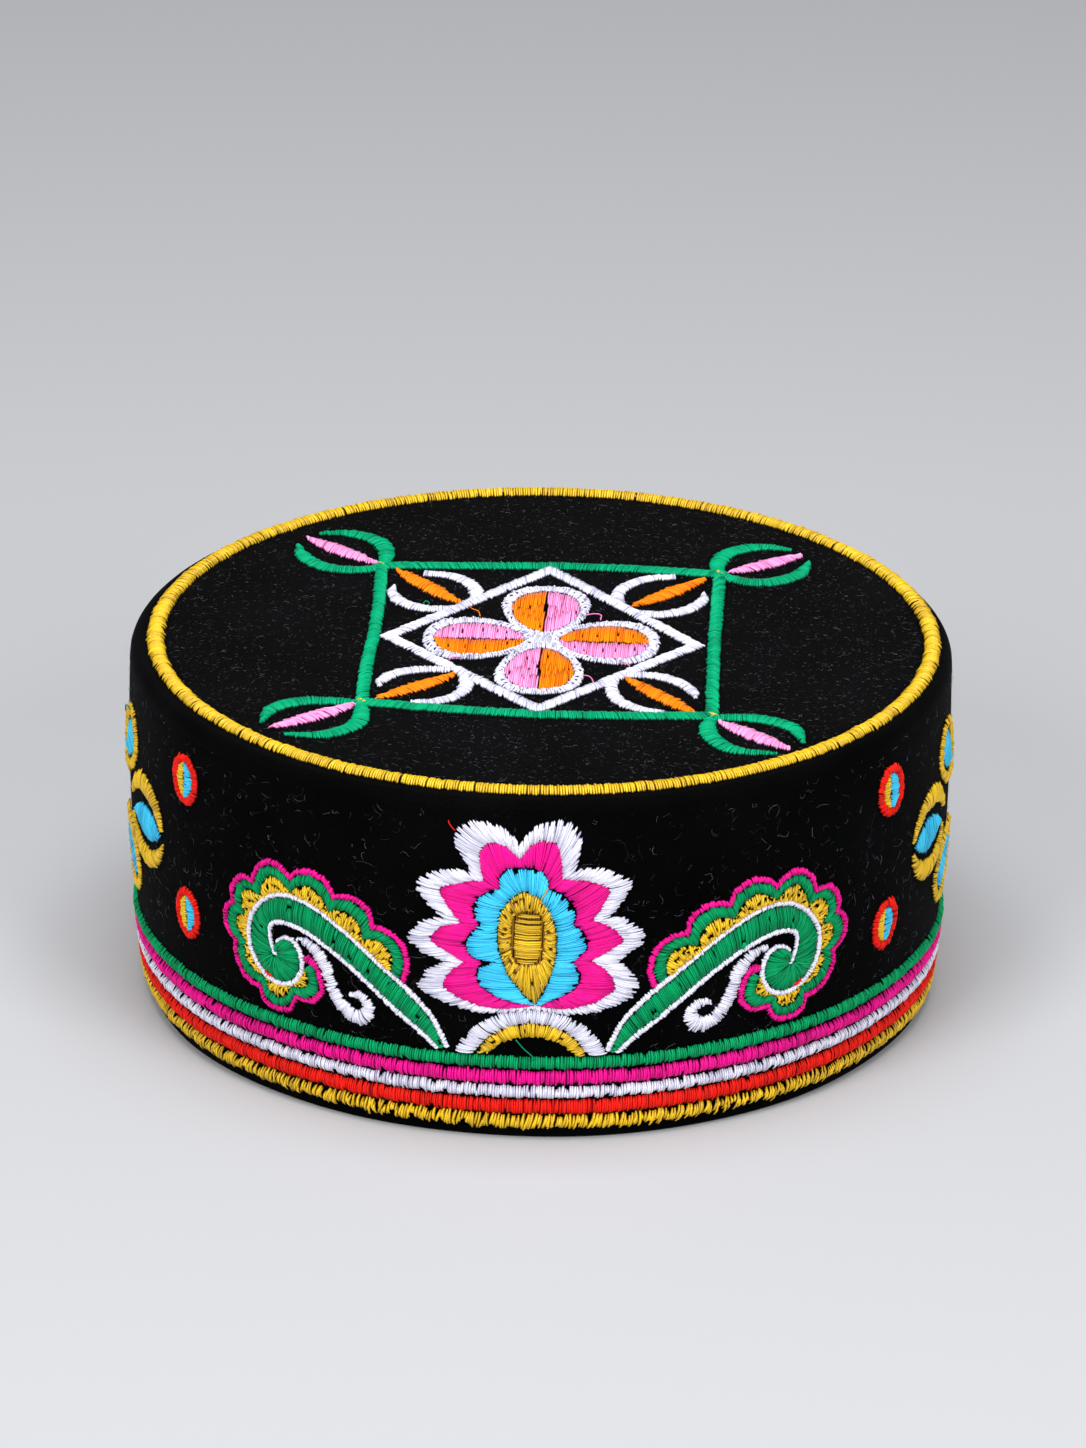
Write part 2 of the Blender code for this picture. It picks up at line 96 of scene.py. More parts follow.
def on_wall(s, z, lift):
    """Places of points of the wall's drawing, in metres."""
    angle = s / WALL_UNIT
    radius = wall_radius(z) + wall_wave(angle, z) + lift
    return np.stack([radius * np.sin(angle), -radius * np.cos(angle), z + 0 * s], axis=-1) * MM


def on_crown(x, y, lift):
    """Places of points of the crown's drawing, in metres."""
    turn_x = x * math.cos(CROWN_TURN) - y * math.sin(CROWN_TURN)
    turn_y = x * math.sin(CROWN_TURN) + y * math.cos(CROWN_TURN)
    height = CROWN_HEIGHT + crown_wave(turn_x, turn_y) + lift
    return np.stack([turn_x, turn_y, height], axis=-1) * MM


low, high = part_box("side_band")
print("band in the frame, mm:", [round(v * 1000, 1) for v in (*low, *high)])

# %% [markdown]
# ## Colours and nodes
# Thread cards and paint charts give colours as sRGB hex, while the shader wants linear light.
# One function turns hex to linear, and one adds any node with its settings and links. Three
# short ones on top of it make a math node, a mix of two shades and a bump.

# %% Helpers for materials


def linear(code):
    """Linear RGBA of an sRGB hex colour."""
    parts = [int(code[i : i + 2], 16) / 255 for i in (0, 2, 4)]
    light = [c / 12.92 if c <= 0.04045 else ((c + 0.055) / 1.055) ** 2.4 for c in parts]
    return (*light, 1.0)


def add_node(tree, kind, settings, inputs):
    """Adds a node. An input is a plain value, or the socket that feeds it."""
    node = tree.nodes.new(kind)
    for name, value in settings.items():
        setattr(node, name, value)
    for name, value in inputs.items():
        if isinstance(value, bpy.types.NodeSocket):
            tree.links.new(value, node.inputs[name])
        else:
            node.inputs[name].default_value = value
    return node


def reckon(tree, operation, *values, clamp=False):
    """The result of a math node on plain values or sockets."""
    settings = {"operation": operation, "use_clamp": clamp}
    return add_node(tree, "ShaderNodeMath", settings, dict(enumerate(values))).outputs["Value"]


def new_material(name):
    """A material with its node tree and its Principled shader."""
    made = bpy.data.materials.new(name)
    made.use_nodes = True
    return made, made.node_tree, made.node_tree.nodes["Principled BSDF"]


def coloured(tree, shader, share, dark, light):
    """Feeds the base colour with a mix of two hex shades."""
    shades = {"Fac": share, "Color1": linear(dark), "Color2": linear(light)}
    colour = add_node(tree, "ShaderNodeMixRGB", {}, shades)
    tree.links.new(colour.outputs["Color"], shader.inputs["Base Color"])


def bumped(tree, shader, height, strength, distance):
    """Feeds the normal with a bump of a height in metres."""
    relief = {"Height": height, "Strength": strength, "Distance": distance}
    bump = add_node(tree, "ShaderNodeBump", {}, relief)
    tree.links.new(bump.outputs["Normal"], shader.inputs["Normal"])


# %% [markdown]
# ## Rayon embroidery thread
# The stitches are 40 weight rayon: two soft bright plies with a silky gloss. A strand is about
# half a millimetre wide, so the gloss comes from its round shape. Neighbouring strands take the
# dye and the light a little differently, so every strand carries its own tint as an attribute.
# Its UV map runs along and round it: fine streaks of filament follow it, and its flanks, which
# press against the next strand, get a painted shade: their colour darkens towards the dark shade.

# %% The thread material
STREAKS = (3.0, 9.0, 1.0)
STREAK_DEPTH = 0.35
STREAK_MIDDLE = 0.17
PLY_BUMP = 0.00006
# Painted shade: how far a strand's colour darkens from its top towards its flanks.
PAINTED_FLANK_SHADE = 0.62
TOP_OF_STRAND = 0.25


def rayon_thread(name, dark, light, gloss, roughness):
    """Rayon thread between two hex shades: smooth and glossy, a little uneven from strand to strand, with
    painted shade on its flanks.
    """
    made, tree, shader = new_material(name)
    tint = add_node(tree, "ShaderNodeAttribute", {"attribute_name": "thread_tint"}, {}).outputs["Fac"]
    uv = add_node(tree, "ShaderNodeUVMap", {"uv_map": "along_thread"}, {}).outputs["UV"]
    stretch = add_node(tree, "ShaderNodeMapping", {}, {"Vector": uv, "Scale": STREAKS})
    grain = {"Vector": stretch.outputs["Vector"], "W": tint, "Scale": 1.6, "Detail": 2.0}
    streaks = add_node(tree, "ShaderNodeTexNoise", {"noise_dimensions": "4D"}, grain).outputs["Fac"]
    shade = reckon(tree, "MULTIPLY_ADD", streaks, STREAK_DEPTH, -STREAK_MIDDLE)
    # Painted shade: the colour darkens from the top of the strand towards its flanks, where it meets the
    # next strand.
    around = add_node(tree, "ShaderNodeSeparateXYZ", {}, {"Vector": uv}).outputs["Y"]
    painted_flank = reckon(tree, "ABSOLUTE", reckon(tree, "SUBTRACT", around, TOP_OF_STRAND))
    streaks_and_painted_shade = reckon(tree, "MULTIPLY_ADD", painted_flank, -4 * PAINTED_FLANK_SHADE, shade)
    coloured(tree, shader, reckon(tree, "ADD", tint, streaks_and_painted_shade, clamp=True), dark, light)
    bumped(tree, shader, streaks, 0.5, PLY_BUMP)
    shader.inputs["Roughness"].default_value = roughness
    shader.inputs["IOR"].default_value = 1.53
    shader.inputs["Specular IOR Level"].default_value = gloss
    return made


# The dark shade is the low end of the strands' uneven tint and also the colour of the painted shade on their
# flanks.
THREADS = {
    # slot: dark shade, light shade, gloss, roughness
    "thread_white": ("8484a2", "ecebf8", 0.08, 0.45),
    "thread_gold": ("6c4600", "facc12", 0.42, 0.34),
    "thread_red": ("7c0402", "fc2216", 0.10, 0.42),
    "thread_magenta": ("7c0044", "fc0e98", 0.14, 0.42),
    "thread_green": ("003c22", "00a463", 0.08, 0.42),
    "thread_jade": ("004a2e", "00a874", 0.07, 0.42),
    "thread_blue": ("0468a0", "44d4fb", 0.2, 0.40),
    "thread_orange": ("b43e00", "ff8e04", 0.12, 0.42),
    "thread_pink": ("b43c84", "ffa8dc", 0.14, 0.42),
}
rayon = {slot: rayon_thread("rayon_" + slot, *looks) for slot, looks in THREADS.items()}
print("thread colours:", len(rayon))

# %% [markdown]
# ## Laying threads
# Satin stitch is one long thread that goes back and forth over a shape, so a patch is hundreds
# of short strands side by side. Modelling each by hand would be endless. The strands are made
# together as arrays instead: each one is a slightly flattened tube that rises from the velvet,
# crosses the shape and dives in again, with a point at both ends. One patch is one mesh.

# %% The strand builder
THREAD_PITCH = 0.44
THREAD_WIDTH = 0.62
THREAD_THICKNESS = 0.5
ROOT_LIFT = 0.05
SATIN_HEIGHT = 0.85
WIDTH_SHARES = (0.72, 0.28)
THICKNESS_SHARES = (0.7, 0.3)
LEAST_HEIGHT = 0.35
HEIGHT_PER_LENGTH = 0.32
RAGGED = 0.16
RAGGED_SHARE = 0.14
RAGGED_SCATTER = 0.7
TONE = 0.9
TONE_DRIFT = 0.2
DRIFT_EVERY = 6
SWAY = 0.05
UNEVEN = 0.07
FOUR_SIDES = ((1, 0), (0, 1), (-1, 0), (0, -1))
piece_count = {}


def lengths(vectors):
    """Lengths of flat vectors, never quite zero, shaped to divide them by."""
    return np.maximum(np.hypot(vectors[..., 0], vectors[..., 1]), 1e-6)[..., None]


def left_of(vectors):
    """Flat vectors turned a quarter to the left, each one unit long."""
    return np.stack([-vectors[..., 1], vectors[..., 0]], axis=-1) / lengths(vectors)


def strand_uv(share):
    """UV of one strand's points: along it, and round it in quarters, with the two tips last."""
    u = np.concatenate([np.repeat(share, 4), [0.0, 1.0]])
    v = np.concatenate([np.tile(np.arange(4) / 4, len(share)), [0.5, 0.5]])
    return np.stack([u, v], axis=1)


def strand_arrays(starts, ends, heights, widths, place, rings, bow, fullness):
    """Points of all strands and the UV of one.

    A strand keeps the first share of its width and thickness at its ends, and gains the second
    towards its middle.
    """
    step = (np.arange(rings) + 0.5) / rings
    share = 0.5 - 0.5 * np.cos(np.pi * step)
    rise = np.sin(np.pi * share) ** fullness
    along = ends - starts
    side = left_of(along)
    middle = starts[:, None, :] + along[:, None, :] * share[None, :, None]
    middle = middle + side[:, None, :] * (bow[:, None] * np.sin(np.pi * share))[:, :, None]
    lift = ROOT_LIFT + (heights[:, None] - ROOT_LIFT) * rise[None, :]
    half = widths[:, None] / 2 * (WIDTH_SHARES[0] + WIDTH_SHARES[1] * rise[None, :])
    thick = THREAD_THICKNESS / 2 * (THICKNESS_SHARES[0] + THICKNESS_SHARES[1] * rise)
    rows = []
    for sideways, upwards in FOUR_SIDES:
        spot = middle + side[:, None, :] * (half * sideways)[:, :, None]
        rows.append(place(spot[..., 0], spot[..., 1], lift + thick * upwards))
    body = np.stack(rows, axis=2).reshape(len(starts), rings * 4, 3)
    root = ROOT_LIFT * np.ones(len(starts))
    first = place(starts[:, 0], starts[:, 1], root)[:, None, :]
    last = place(ends[:, 0], ends[:, 1], root)[:, None, :]
    return np.concatenate([body, first, last], axis=1), strand_uv(share)


def tube_faces(rings, sides):
    """Corners of the faces round an open tube, and how many corners each face has."""
    corners = []
    for near in range(0, (rings - 1) * sides, sides):
        for turn in range(sides):
            beyond = (turn + 1) % sides
            corners += [near + turn, near + beyond, near + sides + beyond, near + sides + turn]
    return corners, [4] * ((rings - 1) * sides)


def strand_faces(rings):
    """Corners of one strand's faces, with the two pointed tips."""
    corners, sizes = tube_faces(rings, 4)
    first = rings * 4
    last_ring = (rings - 1) * 4
    for turn in range(4):
        beyond = (turn + 1) % 4
        corners += [first, beyond, turn]
        corners += [first + 1, last_ring + turn, last_ring + beyond]
        sizes += [3, 3]
    return np.array(corners), np.array(sizes)


def joined_mesh(name, points, uv, corners, sizes, tints):
    """One mesh of many like bodies, written straight from arrays."""
    count, each = points.shape[:2]
    mesh = bpy.data.meshes.new(name)
    mesh.vertices.add(count * each)
    mesh.vertices.foreach_set("co", points.reshape(-1).astype(np.float32))
    all_corners = (corners[None, :] + each * np.arange(count)[:, None]).reshape(-1)
    all_sizes = np.tile(sizes, count)
    mesh.loops.add(len(all_corners))
    mesh.loops.foreach_set("vertex_index", all_corners.astype(np.int32))
    mesh.polygons.add(len(all_sizes))
    starts = np.concatenate([[0], np.cumsum(all_sizes)[:-1]])
    mesh.polygons.foreach_set("loop_start", starts.astype(np.int32))
    layer = mesh.uv_layers.new(name="along_thread")
    layer.data.foreach_set("uv", np.tile(uv[corners], (count, 1)).reshape(-1).astype(np.float32))
    tint = mesh.attributes.new("thread_tint", "FLOAT", "POINT")
    tint.data.foreach_set("value", np.repeat(tints, each).astype(np.float32))
    mesh.update(calc_edges=True)
    mesh.validate()
    mesh.shade_smooth()
    return mesh


def show(mesh, name, material, nodes):
    """Puts a finished mesh in the scene as a piece that stands for its CAD nodes."""
    mesh.materials.append(material)
    made = bpy.data.objects.new(name, mesh)
    bpy.context.scene.collection.objects.link(made)
    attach(made, "root")
    if nodes:
        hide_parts(*nodes)
    mesh.calc_loop_triangles()
    piece_count[name] = len(mesh.loop_triangles)


def satin(name, strands, slot, nodes, place, height=SATIN_HEIGHT, width=THREAD_WIDTH,
          rings=3, ragged=RAGGED, tone=TONE, spread=0.16, fullness=0.55):
    """A patch of satin stitch from pairs of ends. The name seeds its small unevenness."""
    chance = np.random.default_rng(list(name.encode()))
    starts, ends = (np.array(side, float) for side in strands)
    count = len(starts)
    along = ends - starts
    length = lengths(along)
    reach = np.minimum(ragged, length * RAGGED_SHARE)
    starts = starts + along / length * reach * chance.normal(0, RAGGED_SCATTER, (count, 1))
    ends = ends + along / length * reach * chance.normal(0, RAGGED_SCATTER, (count, 1))
    side = left_of(along)
    starts = starts + side * chance.normal(0, SWAY, (count, 1))
    ends = ends + side * chance.normal(0, SWAY, (count, 1))
    heights = np.minimum(height, LEAST_HEIGHT + HEIGHT_PER_LENGTH * length[:, 0])
    heights = heights + chance.normal(0, UNEVEN, count)
    widths = width * (1 + chance.normal(0, UNEVEN, count))
    bow = chance.normal(0, SWAY, count)
    knots = np.arange(0, count + 2 * DRIFT_EVERY, DRIFT_EVERY)
    drift = np.interp(np.arange(count), knots, chance.random(len(knots)))
    tints = tone + chance.normal(0, spread, count) + TONE_DRIFT * (drift - 0.5)
    tints = np.clip(tints, 0, 1.1)
    points, uv = strand_arrays(starts, ends, heights, widths, place, rings, bow, fullness)
    mesh = joined_mesh(name, points, uv, *strand_faces(rings), tints)
    show(mesh, name, rayon[slot], nodes)


# %% [markdown]
# ## Drawing with rails
# A stitched shape is given by two rails, and the strands run from one to the other. The
# helpers below smooth a short table of points, space the strands evenly along both rails, and
# pull neighbours apart or let one stop short here and there, which leaves the small dark slits
# and notches of real satin stitch. The last helper takes these steps in their order.

# %% Rails, slits and notches
MOST_INSET = 0.49
LONGER_SHARE = 0.72
SHORTER_SHARE = 0.28
SLIT_REACH = 4
SLIT_FADE = 1.6


def smooth(points, per_span=8):
    """A smooth line through points, as many to each span."""
    points = np.array(points, float)
    padded = np.concatenate([2 * points[:1] - points[1:2], points, 2 * points[-1:] - points[-2:-1]])
    line = []
    share = np.arange(per_span)[:, None] / per_span
    for a, b, c, d in zip(padded, padded[1:], padded[2:], padded[3:]):
        square = (2 * a - 5 * b + 4 * c - d) * share**2
        cube = (3 * b - a - 3 * c + d) * share**3
        line.append(0.5 * (2 * b + (c - a) * share + square + cube))
    return np.concatenate([*line, points[-1:]])


def line_at(line, places):
    """Points of a line at places counted in its own points."""
    index = np.arange(len(line))
    return np.stack([np.interp(places, index, line[:, axis]) for axis in (0, 1)], axis=1)


def between(near, far, near_inset, far_inset):
    """Two rails pulled towards each other by set distances."""
    gap = far - near
    near_share, far_share = (
        np.minimum(inset / lengths(gap), MOST_INSET) for inset in (near_inset, far_inset)
    )
    return near + gap * near_share, far - gap * far_share


def across(near, far, chance, pitch=THREAD_PITCH, jitter=0.08):
    """Ends of strands laid side by side between two rails with the same number of points."""
    steps = [np.hypot(*np.diff(line, axis=0).T) for line in (near, far)]
    mixed = LONGER_SHARE * np.maximum(*steps) + SHORTER_SHARE * np.minimum(*steps)
    walked = np.concatenate([[0], np.cumsum(mixed)])
    count = max(2, int(round(walked[-1] / pitch)))
    wanted = (np.arange(count) + 0.5 + chance.normal(0, jitter, count)) / count * walked[-1]
    places = np.interp(wanted, walked, np.arange(len(near)))
    return line_at(near, places), line_at(far, places)


def split(strands, chance, every, gap, end="both"):
    """Strands pulled apart at random spots, which leaves a dark slit at one end or along both."""
    starts, ends = (side.copy() for side in strands)
    count = len(starts)
    spot = chance.uniform(0.3, 1.0) * every
    chosen = []
    while spot < count * THREAD_PITCH:
        chosen.append(int(spot / THREAD_PITCH))
        spot += every * chance.uniform(0.5, 1.5)
    for middle in chosen:
        which = end if end != "any" else chance.choice(["start", "end", "both"])
        size = gap * chance.uniform(0.6, 1.3)
        for line, key in ((starts, "start"), (ends, "end")):
            if which not in (key, "both"):
                continue
            ahead = line[min(middle + 1, count - 1)] - line[max(middle - 1, 0)]
            ahead = ahead / lengths(ahead)
            for index in range(max(middle - SLIT_REACH, 0), min(middle + SLIT_REACH + 1, count)):
                away = index - middle + 0.5
                push = size * np.sign(away) * math.exp(-(abs(away) - 0.5) / SLIT_FADE)
                line[index] += ahead * push
    return starts, ends


def notched(strands, chance, every, depth, where="both"):
    """One or two strands that stop short at an edge here and there, which leaves dark notches."""
    starts, ends = (side.copy() for side in strands)
    along = ends - starts
    length = lengths(along)
    spot = int(chance.integers(0, 4))
    while spot < len(starts):
        few = slice(spot, spot + int(chance.integers(1, 3)))
        share = np.minimum(depth * chance.uniform(0.4, 1.4) / length[few], 0.4)
        if where == "start" or (where == "both" and chance.random() < 0.5):
            starts[few] += along[few] * share
        else:
            ends[few] -= along[few] * share
        spot += max(3, int(every / THREAD_PITCH * chance.uniform(0.4, 1.6)))
    return starts, ends


def specks(strands, chance, every, size, most=3):
    """A few strands cut across here and there, which leaves small dark spots inside a patch."""
    starts, ends = strands
    count = len(starts)
    cuts = np.full(count, np.nan)
    spot = int(chance.integers(0, 4))
    while spot < count:
        cuts[spot : spot + chance.integers(1, most + 1)] = chance.uniform(0.25, 0.75)
        spot += max(2, int(every / THREAD_PITCH * chance.uniform(0.5, 1.5)))
    cut = ~np.isnan(cuts)
    along = ends[cut] - starts[cut]
    half = along * np.minimum(size / 2 / lengths(along), 0.2)
    middle = starts[cut] + along * cuts[cut][:, None]
    starts = np.concatenate([starts[~cut], starts[cut], middle + half])
    return starts, np.concatenate([ends[~cut], middle - half, ends[cut]])


def hatch(outline, direction, pitch=THREAD_PITCH):
    """Straight strands that fill a closed outline, all running in one direction in degrees."""
    turn = math.radians(direction)
    ahead = np.array([math.cos(turn), math.sin(turn)])
    aside = np.array([-math.sin(turn), math.cos(turn)])
    u = outline @ ahead
    v = outline @ aside
    starts = []
    ends = []
    rows = np.arange(v.min() + pitch / 2, v.max(), pitch)
    for row in rows:
        crossing = (v[:-1] - row) * (v[1:] - row) < 0
        low_u, high_u = u[:-1][crossing], u[1:][crossing]
        low_v, high_v = v[:-1][crossing], v[1:][crossing]
        spots = np.sort(low_u + (high_u - low_u) * (row - low_v) / (high_v - low_v))
        for first, last in zip(spots[::2], spots[1::2]):
            starts.append(ahead * first + aside * row)
            ends.append(ahead * last + aside * row)
    return np.array(starts), np.array(ends)


def broken(strands, chance, length, gap):
    """Long strands cut into a few shorter stitches that meet end to end."""
    starts = []
    ends = []
    for start, end in zip(*strands):
        ahead = end - start
        whole = np.hypot(*ahead)
        pieces = max(1, int(round(whole / length + chance.uniform(-0.3, 0.3))))
        cuts = np.linspace(0, 1, pieces + 1)
        cuts[1:-1] += chance.normal(0, 0.12 / pieces, pieces - 1)
        for low_cut, high_cut in zip(cuts, cuts[1:]):
            inset = gap / whole / 2
            starts.append(start + ahead * (low_cut + (inset if low_cut > 0 else 0)))
            ends.append(start + ahead * (high_cut - (inset if high_cut < 1 else 0)))
    return np.array(starts), np.array(ends)


def beside(line, widths):
    """Both edges of a ribbon that follows a line."""
    aside = left_of(np.gradient(line, axis=0)) * np.asarray(widths)[:, None] / 2
    return line + aside, line - aside


def draws(name):
    """The random numbers of one patch, the same on every run."""
    return np.random.default_rng([7, *name.encode()])


def laid(rails, chance, every=0, gap=0.1, where="any", notch=None, dots=0, dot=0.6,
         pitch=THREAD_PITCH):
    """Strands across two rails, with any slits, notches and specks made in that order."""
    strands = across(*rails, chance, pitch)
    if every:
        strands = split(strands, chance, every, gap, where)
    if notch:
        strands = notched(strands, chance, *notch)
    if dots:
        strands = specks(strands, chance, dots, dot)
    return strands


def tell(word):
    """Prints how many triangles the pieces have whose names start with a word."""
    print(word, "triangles:", sum(n for name, n in piece_count.items() if name.startswith(word)))


# %% [markdown]
# ## Velvet
# The cap is covered in black cotton velvet. Its pile swallows light seen square on and returns
# a soft grey at grazing angles, which is what sheen is for. A fine noise breaks the surface
# into tufts of about half a millimetre, and a broad one marks where the pile was brushed.

# %% The velvet material
TUFT = 0.5 * MM
BRUSHED_PATCH = 22 * MM
PILE_BUMP = 0.3 * MM


def cotton_velvet(name):
    """Black cotton velvet: matt, with tufts and brushed patches."""
    made, tree, shader = new_material(name)
    where = add_node(tree, "ShaderNodeTexCoord", {}, {}).outputs["Object"]
    fine = {"Vector": where, "Scale": 1 / TUFT, "Detail": 3.0, "Roughness": 0.7}
    tufts = add_node(tree, "ShaderNodeTexNoise", {}, fine).outputs["Fac"]
    broad = {"Vector": where, "Scale": 1 / BRUSHED_PATCH, "Detail": 2.0}
    patches = add_node(tree, "ShaderNodeTexNoise", {}, broad).outputs["Fac"]
    level = reckon(tree, "MULTIPLY", tufts, patches, clamp=True)
    span = {"Value": level, "From Min": 0.12, "From Max": 0.42}
    spread = add_node(tree, "ShaderNodeMapRange", {}, span).outputs["Result"]
    coloured(tree, shader, spread, "010101", "060607")
    bumped(tree, shader, tufts, 0.6, PILE_BUMP)
    shader.inputs["Roughness"].default_value = 0.95
    shader.inputs["Specular IOR Level"].default_value = 0.02
    shader.inputs["Sheen Weight"].default_value = 0.035
    shader.inputs["Sheen Roughness"].default_value = 0.35
    shader.inputs["Sheen Tint"].default_value = linear("b9bac2")
    return made


velvet = cotton_velvet("black_cotton_velvet")

# %% [markdown]
# ## The band
# The band is a strip of stiffened velvet closed into a ring. It starts as a circle at the hem,
# and each extrude with a resize takes it one row up along the bulge of the wall. Solidify gives
# the cloth its thickness inwards, and a bevel rounds the hem where the velvet is turned under.

# %% Model the band
AROUND = 192
BAND_ROWS = 14
HEM_ROLL = 0.9


def only(made):
    """Selects one object and nothing else."""
    bpy.ops.object.select_all(action="DESELECT")
    bpy.context.view_layer.objects.active = made
    made.select_set(True)


def apply_modifiers(made):
    """Applies all modifiers of an object, in their order."""
    only(made)
    for modifier in list(made.modifiers):
        bpy.ops.object.modifier_apply(modifier=modifier.name)


def points_of(mesh):
    """The mesh's points as an array, in millimetres."""
    points = np.empty(len(mesh.vertices) * 3, np.float32)
    mesh.vertices.foreach_get("co", points)
    return points.reshape(-1, 3).astype(float) / MM


def move_points(mesh, points):
    """Puts the mesh's points at new places, in millimetres."""
    mesh.vertices.foreach_set("co", (points * MM).reshape(-1).astype(np.float32))


def next_ring(rise, height, grow):
    """Extrudes the selected ring by a rise to a height, and resizes it there."""
    bpy.ops.mesh.extrude_region_move(TRANSFORM_OT_translate={"value": (0, 0, rise * MM)})
    bpy.ops.transform.resize(value=(grow, grow, 1), center_override=(0, 0, height * MM))


def face_outwards():
    """Selects the whole mesh in edit mode, turns its faces outwards and leaves edit mode."""
    bpy.ops.mesh.select_all(action="SELECT")
    bpy.ops.mesh.normals_make_consistent(inside=False)
    bpy.ops.object.mode_set(mode="OBJECT")


def finish_velvet(made, node):
    """Gives a modelled velvet piece its material, and its body and node in the frame."""
    made.data.materials.clear()
    made.data.materials.append(velvet)
    only(made)
    bpy.ops.object.transform_apply(location=True, rotation=True, scale=True)
    bpy.ops.object.shade_smooth_by_angle(angle=math.radians(50))
    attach(made, "root")
    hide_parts(node)
    made.data.calc_loop_triangles()
    piece_count[made.name] = len(made.data.loop_triangles)


def make_band():
    """The velvet wall, with its hem rolled under."""
    bpy.ops.object.select_all(action="DESELECT")
    bpy.ops.mesh.primitive_circle_add(
        vertices=AROUND, radius=wall_radius(0) * MM, fill_type="NOTHING"
    )
    band = bpy.context.object
    band.name = "velvet_band"
    bpy.ops.object.mode_set(mode="EDIT")
    heights = np.linspace(0, SEAM_HEIGHT, BAND_ROWS + 1)
    for below, above in zip(heights, heights[1:]):
        next_ring(above - below, above, wall_radius(above) / wall_radius(below))
    face_outwards()
    face = band.data.polygons[0]
    if face.normal.dot(face.center) < 0:
        band.data.flip_normals()
    points = points_of(band.data)
    angle = np.arctan2(points[:, 0], -points[:, 1])
    swell = 1 + wall_wave(angle, points[:, 2]) / np.hypot(points[:, 0], points[:, 1])
    points[:, :2] *= swell[:, None]
    move_points(band.data, points)
    wall = band.modifiers.new("Cloth thickness", "SOLIDIFY")
    wall.thickness = CLOTH * MM
    wall.offset = -1
    rolled = band.modifiers.new("Turned hem", "BEVEL")
    rolled.width = HEM_ROLL * MM
    rolled.segments = 3
    rolled.limit_method = "ANGLE"
    rolled.angle_limit = math.radians(60)
    apply_modifiers(band)
    finish_velvet(band, "side_band")


make_band()
tell("velvet_band")

# %% [markdown]
# ## The crown
# The crown is a padded disc of velvet laid on the band, and its shoulder rolls down to the
# seam. A filled circle is inset a few times, so that the flat can swell a little, and its rim
# is extruded outwards and down along a quarter round. A short skirt then covers the seam.

# %% Model the crown
INSETS = 9
SHOULDER_STEPS = 7
SKIRT = 1.2
SKIRT_OUT = 0.05


def make_crown():
    """The velvet crown, with its shoulder and the skirt over the seam."""
    rim = wall_radius(SEAM_HEIGHT)
    flat = rim - SHOULDER_RADIUS
    bpy.ops.object.select_all(action="DESELECT")
    bpy.ops.mesh.primitive_circle_add(
        vertices=AROUND, radius=flat * MM, fill_type="NGON", location=(0, 0, CROWN_HEIGHT * MM)
    )
    crown = bpy.context.object
    crown.name = "velvet_crown"
    bpy.ops.object.transform_apply(location=True, rotation=False, scale=False)
    bpy.ops.object.mode_set(mode="EDIT")
    for _ in range(INSETS):
        bpy.ops.mesh.inset(thickness=flat / (INSETS + 1) * MM)
    bpy.ops.mesh.select_all(action="DESELECT")
    bpy.ops.mesh.select_mode(type="EDGE")
    bpy.ops.mesh.select_non_manifold()
    radius, height = flat, CROWN_HEIGHT
    for step in range(1, SHOULDER_STEPS + 1):
        turn = math.pi / 2 * step / SHOULDER_STEPS
        new_radius = flat + SHOULDER_RADIUS * math.sin(turn)
        new_height = CROWN_HEIGHT - (CROWN_HEIGHT - SEAM_HEIGHT) * (1 - math.cos(turn))
        next_ring(new_height - height, new_height, new_radius / radius)
        radius, height = new_radius, new_height
    skirt_radius = wall_radius(SEAM_HEIGHT - SKIRT) + SKIRT_OUT
    next_ring(-SKIRT, height - SKIRT, skirt_radius / rim)
    bpy.ops.mesh.edge_face_add()
    bpy.ops.mesh.select_mode(type="VERT")
    face_outwards()
    points = points_of(crown.data)
    top = points[:, 2] > CROWN_HEIGHT - 0.01
    points[top, 2] += crown_wave(points[top, 0], points[top, 1])
    move_points(crown.data, points)
    finish_velvet(crown, "crown_panel")


make_crown()
tell("velvet_crown")

# %% [markdown]
# ## The hem stripes
# Five stripes of upright satin stitch run round the hem, each a padded ridge. The gold one is
# the roughest, with leaning strands and a ragged edge, and the red one is packed so tight that
# nothing shows between its strands. The stripes are strands from one height to another.

# %% Stitch the stripes
STRIPE_HEIGHT = 1.2
STRIPE_FULLNESS = 0.75
STRIPE_PITCH = 0.54
STRIPE_THREAD = 0.74
STRIPE_POINTS = 721
STRIPES = [
    # node, low, high, slot, lean, crossing, ragged, slit every, gap, notch every, depth
    ("stripe_gold", 2.8, 6.3, "thread_gold", 0.6, 0.40, 0.6, 3.0, 0.08, 3.0, 0.9),
    ("stripe_red", 6.6, 10.5, "thread_red", 0.1, 0.06, 0.26, 14.0, 0.04, 8.0, 0.6),
    ("stripe_white", 10.8, 14.1, "thread_white", 0.1, 0.06, 0.26, 6.0, 0.05, 2.6, 0.7),
    ("stripe_magenta", 14.4, 18.1, "thread_magenta", 0.1, 0.10, 0.28, 9.0, 0.07, 5.0, 0.7),
    ("stripe_green", 18.5, 21.8, "thread_green", 0.1, 0.06, 0.24, 9.0, 0.04, 6.0, 0.5),
]
